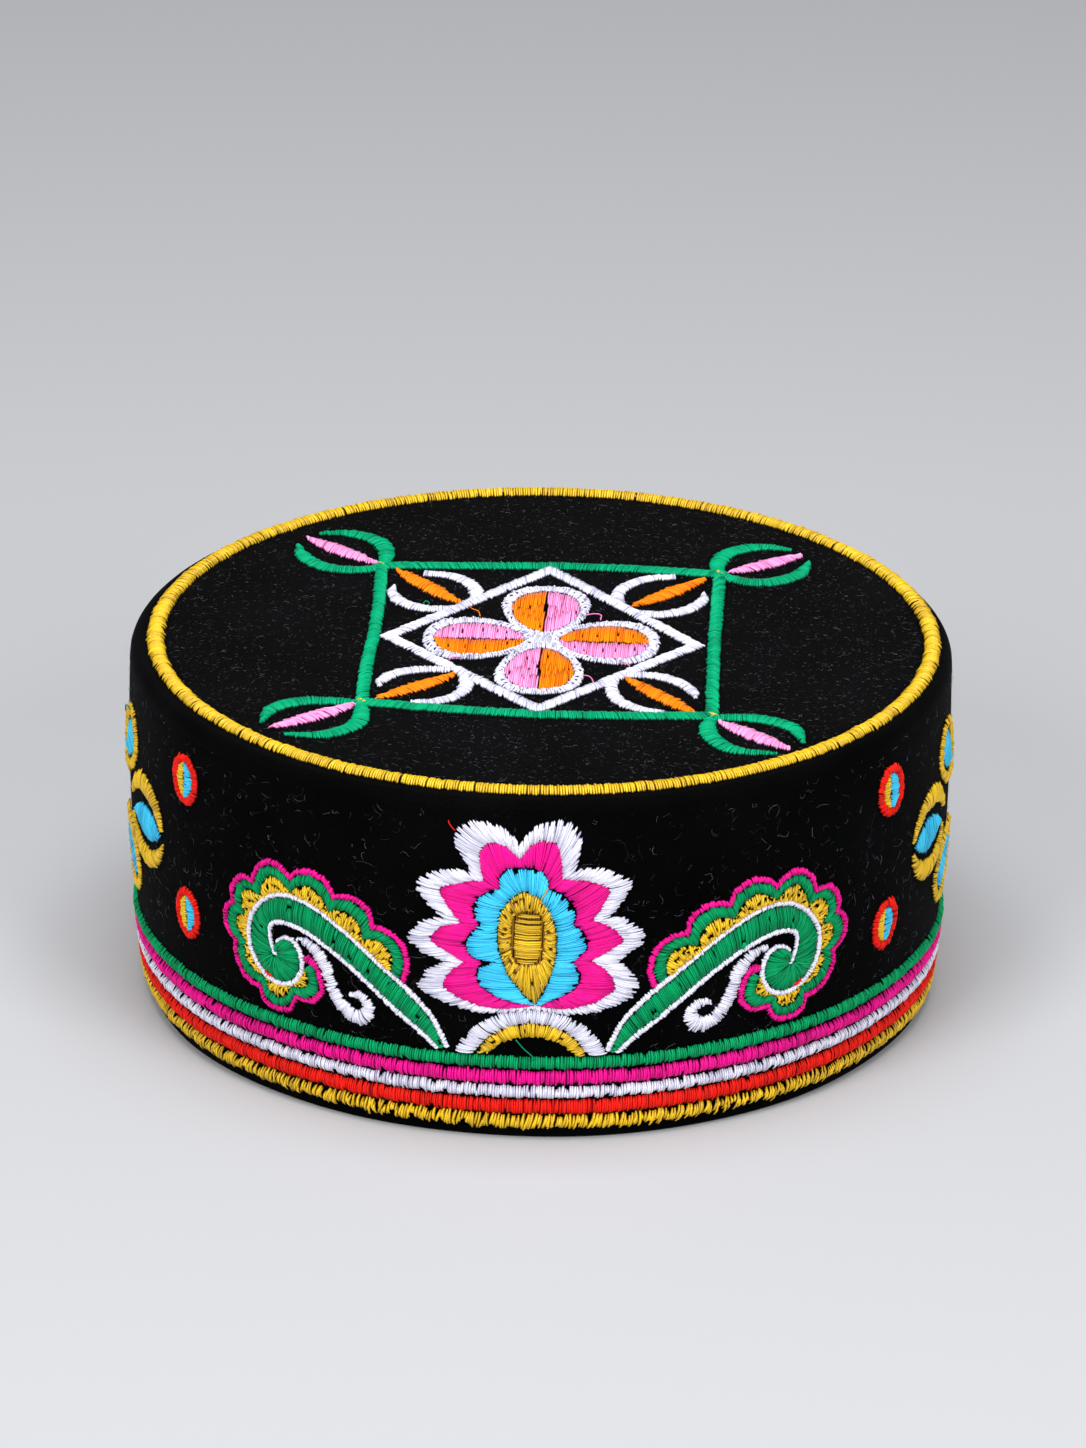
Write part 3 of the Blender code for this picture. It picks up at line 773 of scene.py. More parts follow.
for node, low_edge, high_edge, slot_name, lean, crossing, ragged, *slits in STRIPES:
    chance = draws(node)
    turn = np.linspace(0, math.tau, STRIPE_POINTS) * WALL_UNIT
    near = np.stack([turn, np.full_like(turn, low_edge)], axis=1)
    far = np.stack([turn + lean, np.full_like(turn, high_edge)], axis=1)
    strands = laid((near, far), chance, *slits[:2], notch=slits[2:], pitch=STRIPE_PITCH)
    strands[1][:, 0] += chance.normal(0, crossing, len(strands[1]))
    satin(node + "_threads", strands, slot_name, [node], on_wall, STRIPE_HEIGHT, STRIPE_THREAD,
          ragged=ragged, rings=4, fullness=STRIPE_FULLNESS)
tell("stripe")

# %% [markdown]
# ## The gold edge of the crown
# A ring of gold strands sits just inside the shoulder, stitched over a cord so that it stands up
# as a ridge. The strands run outwards from the middle of the crown between two circles.

# %% Stitch the edge ring
EDGE_OUTER = 93.5
EDGE_INNER = 89.6
EDGE_OFFSET = (0.6, 1.2)
EDGE_HEIGHT = 1.5
EDGE_PITCH = 0.62
EDGE_POINTS = 721


def ellipse(middle, half, count=121):
    """A closed oval or circle, upright, from its middle and its two half widths."""
    turn = np.linspace(0, math.tau, count)
    return np.stack([middle[0] + half[0] * np.cos(turn), middle[1] + half[1] * np.sin(turn)], axis=1)


chance = draws("edge")
rails = [ellipse(EDGE_OFFSET, (radius, radius), EDGE_POINTS) for radius in (EDGE_INNER, EDGE_OUTER)]
strands = laid(rails, chance, 5.5, 0.14, pitch=EDGE_PITCH)
# The ring's lower tone is a painted shade that holds its gold back under the light from above.
satin("crown_edge_threads", strands, "thread_gold", ["crown_edge_ring"], on_crown, EDGE_HEIGHT,
      EDGE_PITCH * 1.3, rings=5, ragged=0.25, tone=0.82, spread=0.1, fullness=0.5)
tell("crown_edge")

# %% [markdown]
# ## The lotus
# The lotus is four layers, each a ring of strands that fan out between two flower outlines:
# white outside, then pink, then blue, round a gold seed pod. An outline is a short table with a
# row for each petal: the notch where it starts, then three points of its edge. A smooth line
# runs through them and turns sharply at each notch. The rows of all four tables stay in step,
# so the strands of one layer run on in the next.

# %% Outlines of the lotus
LOTUS_SHIFT = -4.7
LOTUS_WHITE = [
    # notch, then three points of the petal, each as s and z
    ((1.2, 76.0), (5.0, 80.0), (10.5, 81.6), (14.9, 78.0)),
    ((13.8, 69.5), (19.5, 69.4), (26.2, 65.6), (24.4, 61.0)),
    ((21.3, 57.0), (25.3, 56.4), (29.7, 51.4), (27.0, 48.5)),
    ((23.8, 45.8), (27.9, 40.8), (26.6, 36.3), (16.0, 32.8)),
    ((4.5, 33.6), (-8.0, 32.8), (-20.8, 37.2), (-19.6, 42.0)),
    ((-15.0, 45.3), (-20.2, 46.8), (-23.8, 50.0), (-20.6, 54.5)),
    ((-15.9, 56.4), (-20.2, 60.5), (-21.6, 64.6), (-15.5, 68.3)),
    ((-9.4, 68.3), (-13.2, 75.6), (-10.3, 80.4), (-3.6, 80.0)),
]
LOTUS_PINK = [
    # notch, then three points of the petal, each as s and z
    ((1.3, 71.9), (4.6, 75.9), (9.2, 75.8), (10.5, 71.0)),
    ((10.7, 67.0), (16.0, 66.4), (21.0, 64.2), (19.9, 60.4)),
    ((17.4, 56.6), (20.8, 55.2), (24.3, 51.4), (21.2, 48.7)),
    ((17.3, 46.5), (21.6, 42.6), (22.0, 38.0), (14.0, 34.4)),
    ((5.0, 35.2), (-6.0, 34.3), (-15.0, 38.2), (-13.9, 42.6)),
    ((-10.8, 45.5), (-15.0, 48.2), (-18.3, 50.5), (-15.6, 54.0)),
    ((-11.5, 55.4), (-14.6, 59.5), (-15.9, 63.4), (-11.0, 65.5)),
    ((-6.6, 66.3), (-7.4, 72.5), (-5.0, 75.5), (-1.4, 74.7)),
]
LOTUS_BLUE = [
    # notch, then three points of the petal, each as s and z
    ((2.0, 69.6), (4.6, 69.3), (6.6, 68.3), (7.6, 66.2)),
    ((7.7, 64.7), (10.6, 63.2), (13.5, 59.2), (13.7, 57.3)),
    ((13.3, 55.5), (15.5, 53.4), (16.3, 50.0), (15.2, 48.0)),
    ((13.1, 46.3), (14.9, 42.4), (13.4, 39.2), (9.6, 37.0)),
    ((5.4, 35.3), (-1.5, 36.4), (-7.0, 39.8), (-7.6, 43.8)),
    ((-6.6, 45.7), (-8.9, 47.0), (-10.3, 50.3), (-9.0, 53.0)),
    ((-7.3, 55.1), (-8.6, 58.4), (-7.6, 61.6), (-5.0, 63.8)),
    ((-3.0, 64.2), (-3.0, 66.2), (-2.2, 68.4), (-0.4, 69.3)),
]
LOTUS_SEED = [
    # four points of the pod's edge for each petal round it, each as s and z
    ((2.5, 63.8), (4.4, 63.1), (5.6, 62.4), (6.3, 61.6)),
    ((6.8, 60.9), (8.0, 58.8), (8.7, 57.0), (9.1, 55.6)),
    ((9.3, 54.5), (9.6, 51.5), (9.5, 49.5), (9.3, 47.5)),
    ((9.1, 46.0), (8.3, 42.6), (7.0, 39.2), (6.0, 36.9)),
    ((5.2, 35.2), (3.0, 37.2), (1.2, 39.6), (-0.8, 42.6)),
    ((-2.2, 46.0), (-3.0, 48.6), (-3.3, 51.0), (-3.3, 53.2)),
    ((-3.2, 55.2), (-2.8, 58.0), (-2.0, 59.8), (-1.2, 61.0)),
    ((-0.4, 61.9), (0.5, 62.8), (1.3, 63.4), (1.9, 63.7)),
]
POD_HEART = (-1.4, 52.2)
POD_HEART_HALF = (3.5, 6.5)
POD_LINES = [57.5, 56.1, 53.6, 52.2, 47.4]
LAYER_OVERLAP = 0.2
BLUE_GAP = 0.12
BLUE_SLIT = (-3.6, 46.2)

HEART_INSET = 0.3
LINE_CLEAR = 0.2
HALF_ROUND = {"front": 0.0, "back": math.pi * WALL_UNIT}


def petals(table, end=None, shift=0.0, per_span=9):
    """A scalloped line, smooth within a petal and sharp at the notches, closed unless it has an end."""
    stops = [row[0] for row in table[1:]] + [end or table[0][0]]
    parts = [smooth([*row, stop], per_span)[:-1] for row, stop in zip(table, stops)]
    return np.concatenate([*parts, [stops[-1]]]) + [shift, 0]


def squarish(middle, half, toward):
    """Points of a rounded rectangle, each towards one point of another outline."""
    away = toward - middle
    turn = np.arctan2(away[:, 1], away[:, 0])
    reach = (np.abs(np.cos(turn) / half[0]) ** 4 + np.abs(np.sin(turn) / half[1]) ** 4) ** -0.25
    return middle + reach[:, None] * np.stack([np.cos(turn), np.sin(turn)], axis=1)


def facing_patch(name, node, slot, strands, facing, **kinds):
    """One patch of the wall, on the front or, half a turn on, on the back."""
    moved = [side + [HALF_ROUND[facing], 0] for side in strands]
    satin(name + "_" + facing, moved, slot, [node + "_" + facing], on_wall, **kinds)


def fixed_both(name, node, slot, strands, **kinds):
    """Strands that are already laid, on the front and on the back."""
    for facing in HALF_ROUND:
        facing_patch(name, node, slot, strands, facing, **kinds)


def stitched_both(name, node, slot, rails, *slits, pitch=THREAD_PITCH, **kinds):
    """Strands across two rails, on the front and on the back, each with its own draws."""
    for facing in HALF_ROUND:
        strands = laid(rails, draws(name + facing), *slits, pitch=pitch)
        facing_patch(name, node, slot, strands, facing, **kinds)


# %% Stitch the lotus
white_line, pink_line, blue_line, seed_line = (
    petals(table, shift=LOTUS_SHIFT) for table in (LOTUS_WHITE, LOTUS_PINK, LOTUS_BLUE, LOTUS_SEED)
)
slit_row = (BLUE_SLIT, *LOTUS_BLUE[5][1:])
blue_edge = petals([*LOTUS_BLUE[:5], slit_row, *LOTUS_BLUE[6:]], shift=LOTUS_SHIFT)
stitched_both("lotus_white_threads", "lotus_white", "thread_white",
              between(white_line, pink_line, 0, -LAYER_OVERLAP), 2.6, 0.08, "start",
              (1.7, 1.0, "start"), ragged=0.3)
stitched_both("lotus_pink_threads", "lotus_pink", "thread_magenta",
              between(pink_line, blue_line, -LAYER_OVERLAP, BLUE_GAP), 12.0, 0.04, "any",
              (4.0, 0.6, "end"), rings=4)
stitched_both("lotus_blue_threads", "lotus_blue", "thread_blue",
              between(blue_edge, seed_line, 0, 0), 3.4, 0.07, "any", (3.0, 0.8, "start"), rings=4,
              ragged=0.3)
heart_line = squarish(np.array(POD_HEART), POD_HEART_HALF, seed_line)
# The underlay is a real layer of the same gold, laid low. Its very dark tone is a painted shade for the gaps
# between the stitches over it.
fixed_both("lotus_seed_underlay", "lotus_seed", "thread_gold", hatch(seed_line, 88.0, 0.62),
           height=0.3, tone=0.1, spread=0.06)
stitched_both("lotus_seed_ring", "lotus_seed", "thread_gold",
              between(seed_line, heart_line, 0, 0.1), 3.0, 0.08, "any", None, 2.6, 0.5, ragged=0.3,
              tone=0.78)
heart_edge = squarish(np.array(POD_HEART), np.array(POD_HEART_HALF) - HEART_INSET, seed_line)
heart = np.array(hatch(heart_edge, -4.0))
clear = np.abs(heart[0][:, 1:] - np.array(POD_LINES)).min(axis=1) > LINE_CLEAR
fixed_both("lotus_seed_heart", "lotus_seed", "thread_gold", heart[:, clear], ragged=0.25, tone=0.72)
tell("lotus")

# %% [markdown]
# ## The arch under the lotus
# Two bows lie on each other, white above and gold below. Each is an arc through its feet and
# its top, with strands across it. The white one runs on under the lowest petals.

# %% Stitch the arch
ARCH_MIDDLE = -0.4
ARCH_ARCS = [
    # half width, foot z, top z
    (17.1, 22.3, 34.3),
    (12.7, 22.2, 30.4),
    (12.4, 22.2, 30.5),
    (9.9, 22.2, 26.9),
]


def arch_arc(half_width, foot, top, steps=60):
    """Points of a round arch through both feet and its top."""
    rise = top - foot
    radius = (half_width**2 + rise**2) / (2 * rise)
    turn = np.linspace(-1, 1, steps + 1) * math.asin(half_width / radius)
    z = top - radius * (1 - np.cos(turn))
    return np.stack([ARCH_MIDDLE + radius * np.sin(turn), z], axis=1)


arcs = [arch_arc(*row) for row in ARCH_ARCS]
stitched_both("arch_white_threads", "arch_white", "thread_white", arcs[:2], 3.0, 0.07, "any",
              (2.2, 0.7), ragged=0.35, rings=4)
stitched_both("arch_gold_threads", "arch_gold", "thread_gold", arcs[2:], 3.0, 0.08, "any",
              (4.0, 0.5), 8.0, 0.5, ragged=0.3)

# %% [markdown]
# ## The scrolls
# A scroll is a green horn that curls into a round head, edged by a white line. Along its back
# runs a row of lobes: a magenta border, a green band and a gold fan in each lobe. A white
# tendril hangs inside the curl. The horn is a table of rows from its outer to its inner edge,
# and in the head the inner edge stays on one point, so the strands turn round it like a wheel.

# %% Outlines of the scrolls
HORN = [
    # outer s, outer z, inner s, inner z
    (16.2, 23.2, 18.4, 22.6),
    (19.9, 30.8, 22.8, 26.6),
    (25.6, 36.9, 28.8, 31.2),
    (31.3, 41.3, 34.3, 35.6),
    (36.8, 45.5, 39.3, 39.4),
    (42.8, 49.5, 44.8, 42.8),
    (49.3, 52.8, 50.3, 45.4),
    (55.3, 54.1, 56.3, 46.8),
    (60.9, 53.2, 60.8, 46.3),
    (65.9, 49.7, 62.9, 44.4),
    (69.2, 44.8, 62.8, 41.0),
    (69.9, 39.5, 61.8, 37.6),
    (68.4, 34.6, 61.8, 37.6),
    (65.0, 31.2, 61.8, 37.6),
    (60.3, 29.9, 61.8, 37.6),
    (56.1, 31.4, 61.8, 37.6),
    (53.6, 35.0, 61.8, 37.6),
    (53.3, 38.8, 61.8, 37.6),
    (55.1, 42.2, 61.8, 37.6),
    (58.2, 42.9, 61.8, 37.6),
    (60.7, 41.4, 61.8, 37.6),
]
HEAD_ROW = 11
SCROLL_EDGE = [
    # notch, then three points of the lobe, each as s and z
    ((26.3, 38.3), (25.1, 43.0), (26.5, 48.2), (30.3, 51.2)),
    ((33.9, 51.7), (34.9, 55.4), (38.2, 57.7), (41.7, 57.9)),
    ((44.1, 57.3), (45.9, 60.4), (49.9, 62.0), (53.9, 61.3)),
    ((56.4, 59.2), (59.1, 61.1), (62.9, 61.4), (66.3, 59.0)),
    ((68.3, 55.1), (71.9, 54.9), (74.7, 52.3), (75.7, 49.3)),
    ((75.1, 47.4), (77.5, 45.4), (78.4, 42.0), (77.3, 39.2)),
    ((74.8, 36.9), (75.0, 33.5), (72.7, 29.3), (69.6, 27.3)),
    ((66.9, 27.1), (65.7, 23.8), (61.8, 22.6), (57.5, 23.7)),
    ((55.3, 27.4), (50.9, 27.7), (47.7, 31.0), (47.9, 35.4)),
]
SCROLL_EDGE_END = (49.5, 38.9)
GOLD_EDGE = [
    # notch, then three points of the fan, each as s and z
    ((29.9, 41.0), (29.6, 44.4), (31.3, 47.2), (34.6, 48.1)),
    ((36.9, 47.2), (37.9, 50.9), (40.7, 53.4), (43.9, 53.3)),
    ((45.8, 52.5), (47.5, 55.6), (50.9, 57.7), (54.3, 56.6)),
    ((56.4, 54.8), (59.3, 57.0), (62.2, 57.3), (64.6, 54.6)),
    ((65.7, 51.2), (68.9, 52.0), (71.1, 50.5), (71.7, 47.6)),
    ((70.3, 45.3), (72.9, 44.2), (73.6, 41.6), (72.2, 39.3)),
    ((70.4, 38.4), (71.2, 36.2), (70.5, 33.4), (68.2, 31.6)),
    ((64.7, 30.4), (63.9, 27.9), (61.1, 26.4), (58.6, 27.6)),
    ((57.1, 30.5), (54.7, 30.8), (52.3, 32.0), (52.2, 34.4)),
]
GOLD_EDGE_END = (53.0, 36.0)
BORDER_END = [(49.0, 37.4), (49.9, 39.2), (51.4, 39.9), (52.9, 39.2), (52.8, 37.7), (50.8, 37.1)]
TENDRIL = [
    # s, z, width
    (54.6, 43.3, 1.3),
    (52.3, 43.0, 2.3),
    (49.7, 41.7, 3.4),
    (47.6, 39.4, 3.8),
    (46.5, 36.5, 3.5),
    (45.4, 33.2, 3.4),
    (43.5, 29.8, 3.5),
    (41.1, 27.7, 3.8),
    (38.5, 27.0, 3.9),
    (36.3, 28.3, 3.7),
    (35.9, 30.6, 3.2),
    (37.1, 32.4, 2.4),
    (39.1, 32.9, 1.9),
    (40.7, 32.2, 1.0),
]
ROW_POINTS = 8
BORDER_WIDTH = 1.6
LINE_OUT = 1.05
HEAD_PITCH = 0.36
SIDES = [
    # side, sign of s, shift, stretch
    ("right", 1, 0.0, 1.0),
    ("left", -1, 3.6, 0.957),
]
RED_STITCH = [(62.4, 31.3), (64.9, 32.3)]
RED_STITCH_STEP = [0.1, 0.35]


def nearest_place(line, point):
    """Where on a line its nearest point to another point lies, counted in the line's points."""
    return int(np.argmin(np.hypot(*(line - point).T)))


def roots_of(table, end, outer, per_span=9):
    """Points of the horn's back from which the gold fans grow, in step with their outline."""
    stops = [nearest_place(outer, row[0]) for row in table] + [nearest_place(outer, end)]
    runs = [np.linspace(a + 1, b - 1, 4 * per_span) for a, b in zip(stops, stops[1:])]
    return line_at(outer, np.concatenate([*runs, [stops[-1]]]))


def inset_along(near, far, start, end):
    """Rails that lie between set distances from the near rail, towards the far one."""
    gap = far - near
    length = lengths(gap)
    return [near + gap / length * np.minimum(inset, length) for inset in (start, end)]


def make_scroll(side, sign, shift, stretch):
    """All stitches of one scroll, on the front and on the back."""

    def drawn(points):
        """Points of the right-hand drawing, shifted, stretched and mirrored to this side."""
        points = np.asarray(points, float)
        return np.stack([sign * (shift + stretch * points[:, 0]), points[:, 1]], axis=1)

    outer = smooth([row[0:2] for row in HORN], ROW_POINTS)
    inner = smooth([row[2:4] for row in HORN[: HEAD_ROW + 1]], ROW_POINTS)
    neck = len(inner)
    inner = np.concatenate([inner, np.repeat(inner[-1:], len(outer) - neck, axis=0)])
    edge = petals(SCROLL_EDGE, SCROLL_EDGE_END)
    gold = petals(GOLD_EDGE, GOLD_EDGE_END)
    green = between(outer, inner, LINE_OUT - 0.1, 0.1)
    line_outer = inset_along(outer, inner, -0.3, LINE_OUT)
    line_inner = inset_along(inner[:neck], outer[:neck], -1.0, 0.35)
    border = inset_along(edge, gold, 0, BORDER_WIDTH)
    band = between(border[1], gold, 0, 0)
    fans = between(gold, roots_of(GOLD_EDGE, GOLD_EDGE_END, outer), 0.05, 0)
    ribbon = smooth(TENDRIL, ROW_POINTS)
    tendril = beside(ribbon[:, :2], ribbon[:, 2])
    layers = [
        # name, CAD node, slot, rails, pitch, slit every, gap, notch, dots every, dot, ragged, tone
        ("green", "horn", "green", [rail[:neck] for rail in green],
         0.44, 4.0, 0.05, None, 9.0, 0.5, 0.2, 0.85),
        ("line", "horn", "white", line_outer, 0.38, 0, 0, None, 0, 0, 0.25, 1.1),
        ("inner_line", "horn", "white", line_inner, 0.38, 0, 0, None, 0, 0, 0.35, 1.1),
        ("border", "border", "magenta", border, 0.42, 5.0, 0.04, None, 0, 0, 0.45, 0.9),
        ("band", "fill", "green", band, 0.44, 7.0, 0.04, None, 0, 0, 0.25, 0.85),
        ("gold", "fill", "gold", fans, 0.44, 3.2, 0.08, (2.2, 0.7, "start"), 1.9, 0.6, 0.35, 0.95),
        ("tendril", "tendril", "white", tendril, 0.44, 4.0, 0.05, (2.6, 0.6), 0, 0, 0.25, 1.0),
    ]
    for name, node, slot, rails, pitch, every, gap, notch, dots, dot, ragged, tone in layers:
        rails = [drawn(rail) for rail in rails]
        stitched_both("scroll_" + name + "_threads_" + side, "scroll_" + node + "_" + side,
                      "thread_" + slot, rails, every, gap, "any", notch, dots, dot, ragged=ragged,
                      pitch=pitch, tone=tone)
    patch = hatch(drawn(BORDER_END + BORDER_END[:1]), 62.0)
    fixed_both("scroll_border_end_" + side, "scroll_border_" + side, "thread_magenta", patch)
    stitch = [np.array([end, end + RED_STITCH_STEP]) for end in drawn(RED_STITCH)]
    fixed_both("scroll_stitch_" + side, "scroll_horn_" + side, "thread_red", stitch)
    head = [drawn(rail[neck - 1 :]) for rail in (green[0], inner)]
    name = "scroll_head_threads_" + side
    for facing in HALF_ROUND:
        chance = draws(name + "_" + facing)
        starts, ends = across(*head, chance, HEAD_PITCH)
        ends = ends + (starts - ends) * chance.uniform(0.02, 0.42, (len(starts), 1))
        facing_patch(name, "scroll_horn_" + side, "thread_green", (starts, ends), facing)


for row in SIDES:
    make_scroll(*row)
tell("scroll")

# %% [markdown]
# ## The ovals
# Beside each scroll stand two small ovals: a red ring round a core that is gold on its left
# and blue on the larger part to its right.

# %% Stitch the ovals
OVAL_S = 93.0
OVAL_HEIGHTS = {"upper": 71.0, "lower": 37.0}
OVAL_OUTER = (5.2, 6.4)
OVAL_INNER = (3.1, 4.2)


def part_ellipse(middle, half, sign, cut=-0.4, inset=0.08):
    """The part of an oval to the left or right of a cut, a little clear of it."""
    line = ellipse(middle, half)
    limit = middle[0] + cut + sign * inset
    line[:, 0] = np.maximum(line[:, 0], limit) if sign > 0 else np.minimum(line[:, 0], limit)
    return line


for side_name, sign in (("left", -1), ("right", 1)):
    for level, height in OVAL_HEIGHTS.items():
        middle = (sign * OVAL_S, height)
        node = "oval_" + level + "_" + side_name
        rails = [ellipse(middle, OVAL_OUTER), ellipse(middle, OVAL_INNER)]
        stitched_both(node + "_red_threads", node, "thread_red", rails, ragged=0.25, pitch=0.4)
        for slot_name, part_sign in (("thread_gold", -1), ("thread_blue", 1)):
            core = part_ellipse(middle, OVAL_INNER, part_sign)
            fixed_both(node + "_" + slot_name, node, slot_name, hatch(core, 4.0), ragged=0.4, tone=1.1)

# %% [markdown]
# ## The flowers on the sides
# Over each ear lies a broad flower of six petals. Each petal has a gold outline, and the long
# ones at the front and back end in a blue lozenge held by two gold claws.

# %% Stitch the side flowers
SIDE_MIDDLE = 51.5
QUARTER = WALL_UNIT * math.pi / 2
SIDE_DIRECTIONS = [40.0, 140.0, 220.0, 320.0]
LOZENGE_TIP = 42.4
LOZENGE_LENGTH = 18.0
LOZENGE_WIDTH = 8.5
CLAW_MIDDLE = 32.2
CLAW_RADIUS = 11.5
CLAW_THICKNESS = 5.0
PETAL_LENGTH = 32.0
PETAL_WIDTH = 15.0
PETAL_HUB = 9.5
PETAL_BAND = 2.3
CORE_INSETS = (5.6, 3.4, 6.8)


def mirrored(along, wide):
    """A closed outline along x, from its half widths."""
    upper = np.stack([along, wide], axis=1)
    return np.concatenate([upper, (upper * [1, -1])[-2::-1]])


def turned(points, direction, middle):
    """Points drawn along x, turned to a direction in degrees and moved to a middle."""
    turn = math.radians(direction)
    x = points[:, 0] * math.cos(turn) - points[:, 1] * math.sin(turn)
    y = points[:, 0] * math.sin(turn) + points[:, 1] * math.cos(turn)
    return np.stack([x + middle[0], y + middle[1]], axis=1)


def teardrop(start, end, width, lean=1.3, fullness=0.9, steps=60):
    """A closed teardrop along x with its point at the start."""
    share = (np.arange(steps + 1)) / steps
    along = start + (end - start) * (1 - np.cos(np.pi * share)) / 2
    wide = width / 2 * np.sin(np.pi * share**lean) ** fullness
    wide[0] = wide[-1] = 0
    return mirrored(along, wide)


def shrunk(outline, distance):
    """A closed outline moved inwards by a distance, with its points kept in step."""
    aside = left_of(np.roll(outline[:-1], -1, axis=0) - np.roll(outline[:-1], 1, axis=0))
    area = np.sum(outline[:-1, 0] * outline[1:, 1] - outline[1:, 0] * outline[:-1, 1])
    moved = outline[:-1] + aside * distance * (1 if area > 0 else -1)
    return np.concatenate([moved, moved[:1]])


def make_side_flower(side, sign):
    """All stitches of the flower over one ear."""
    node = "side_flower_" + side
    middle = (sign * QUARTER, SIDE_MIDDLE)
    for number, direction in enumerate(SIDE_DIRECTIONS):
        outline = turned(teardrop(PETAL_HUB, PETAL_LENGTH, PETAL_WIDTH), direction, middle)
        name = node + "_petal_" + str(number)
        strands = laid((outline, shrunk(outline, PETAL_BAND)), draws(name), 4.0, 0.06)
        satin(name + "_outline", strands, "thread_gold", [node], on_wall, ragged=0.4)
        start, end, width = CORE_INSETS
        core = teardrop(PETAL_HUB + start, PETAL_LENGTH - end, PETAL_WIDTH - width)
        strands = hatch(turned(core, direction, middle), direction + 90)
        satin(name + "_core", strands, "thread_blue", [node], on_wall, ragged=0.3)
    for number, direction in enumerate((0.0, 180.0)):
        name = node + "_claw_" + str(number)
        chance = draws(name)
        for part, low_turn, high_turn in (("upper", 8, 168), ("lower", -168, -8)):
            turn = np.radians(np.linspace(low_turn, high_turn, 60))
            swell = CLAW_THICKNESS * np.sin(np.linspace(0.05, 0.99, 60) * math.pi) ** 0.8
            ring = np.stack([np.cos(turn), np.sin(turn)], axis=1)
            outer = turned(ring * CLAW_RADIUS + [CLAW_MIDDLE, 0], direction, middle)
            inner = turned(ring * (CLAW_RADIUS - swell)[:, None] + [CLAW_MIDDLE, 0], direction, middle)
            strands = laid((outer, inner), chance, 4.0, 0.06)
            satin(name + "_" + part, strands, "thread_gold", [node], on_wall, rings=4, ragged=0.4)
        share = np.linspace(0, 1, 60)
        along = LOZENGE_TIP - LOZENGE_LENGTH * share
        wide = LOZENGE_WIDTH / 2 * np.sin(np.pi * share) ** 0.8
        wide[-1] = 0
        lozenge = hatch(turned(mirrored(along, wide), direction, middle), 90)
        satin(name + "_lozenge", lozenge, "thread_blue", [node], on_wall, ragged=0.3)
    tell(node)


make_side_flower("right", 1)
make_side_flower("left", -1)

# %% [markdown]
# ## The crown pattern
# A bowed green frame holds a white diamond, and the diamond holds a flower of four petals. A
# leaf of one spindle and two crescents springs from each corner, inside the frame and outside.

# %% Stitch the frame and the diamond
FRAME_PATH = [
    # x, y of the middle of the band, clockwise
    (-41.2, 42.0),
    (-20.0, 43.0),
    (0.0, 44.2),
    (20.0, 44.0),
    (40.3, 43.0),
    (40.6, 20.0),
    (40.8, 0.0),
    (41.4, -22.0),
    (42.2, -43.4),
    (21.0, -45.4),
    (2.0, -46.2),
    (-19.0, -44.2),
    (-39.0, -41.6),
    (-39.6, -20.0),
    (-39.4, 0.0),
    (-40.0, 21.0),
]
FRAME_BAND = (3.2, 3.9)
FRAME_REACH = 41.0
DIAMOND_PATH = [(-0.5, 41.6), (36.6, -1.5), (2.0, -43.0), (-36.0, -2.5)]
DIAMOND_BAND = (3.3, 3.3)
DIAMOND_REACH = 26.0
# The crown's whites take a darker tone than the wall's: a painted shade that holds them back under the
# stronger light from above.
CROWN_WHITE_SHADED_TONE = 0.8
KNOT_REACH = 0.8
KNOT_HEIGHT = 1.2
KNOT_STRANDS = [(-0.6, 0.5), (-0.2, 0.1), (0.2, -0.2), (0.6, -0.6)]


def straight(points, per_span=40):
    """A closed line of straight runs through corners."""
    share = np.arange(per_span)[:, None] / per_span
    corners = np.array(points + points[:1], float)
    runs = [start + (end - start) * share for start, end in zip(corners, corners[1:])]
    return np.concatenate([*runs, corners[:1]])


def scaled_band(line, band, reach):
    """Both edges of a closed band with two widths, whose sides lie one reach from its middle."""
    middle = line[:-1].mean(axis=0)
    growth = np.array(band) / 2 / reach
    return [middle + (line - middle) * (1 + half * growth) for half in (1, -1)]


def stitched_crown(name, slot, node, rails, *slits, **kinds):
    """Strands across two rails on the crown."""
    satin(name, laid(rails, draws(name), *slits), slot, [node], on_crown, **kinds)


rails = scaled_band(straight(FRAME_PATH, 20), FRAME_BAND, FRAME_REACH)
stitched_crown("frame_threads", "thread_jade", "crown_frame", rails, 6.0, 0.04, ragged=0.25)
rails = scaled_band(straight(DIAMOND_PATH), DIAMOND_BAND, DIAMOND_REACH)
stitched_crown("diamond_threads", "thread_white", "crown_diamond", rails, 5.0, 0.05, "any",
               (5.0, 0.5), ragged=0.25, tone=CROWN_WHITE_SHADED_TONE)
for number, corner in enumerate(FRAME_PATH[::4]):
    starts = np.array(corner) + KNOT_STRANDS - [KNOT_REACH, KNOT_REACH / 2]
    strands = (starts, starts + [2 * KNOT_REACH, KNOT_REACH])
    satin("frame_knot_" + str(number), strands, "thread_gold", ["crown_frame"], on_crown, KNOT_HEIGHT)

# %% [markdown]
# ## The flower in the diamond
# Each petal has a white outline that is widest at its far end, and seen along the petal its
# left half is orange and its right half pink. The outline's strands run from the outer edge to
# the edge of the filling, and the four outlines meet in a white hub. The strands of the
# fillings all run from front to back, whichever way the petal points.

# %% Stitch the flower
FLOWER_MIDDLE = (0.4, -2.2)
FLOWER_HUB = 1.0
HUB_HALF = (3.6, 4.2)
FLOWER_PETALS = [
    # name, direction in degrees, outline end and width, filling start, end and width
    ("up", 91.0, 33.0, 21.0, 5.0, 30.0, 15.9),
    ("left", 180.5, 28.2, 25.0, 4.4, 25.4, 18.9),
    ("down", 271.5, 32.1, 20.9, 4.6, 29.3, 15.9),
    ("right", 0.5, 27.6, 25.4, 4.2, 24.9, 19.8),
]


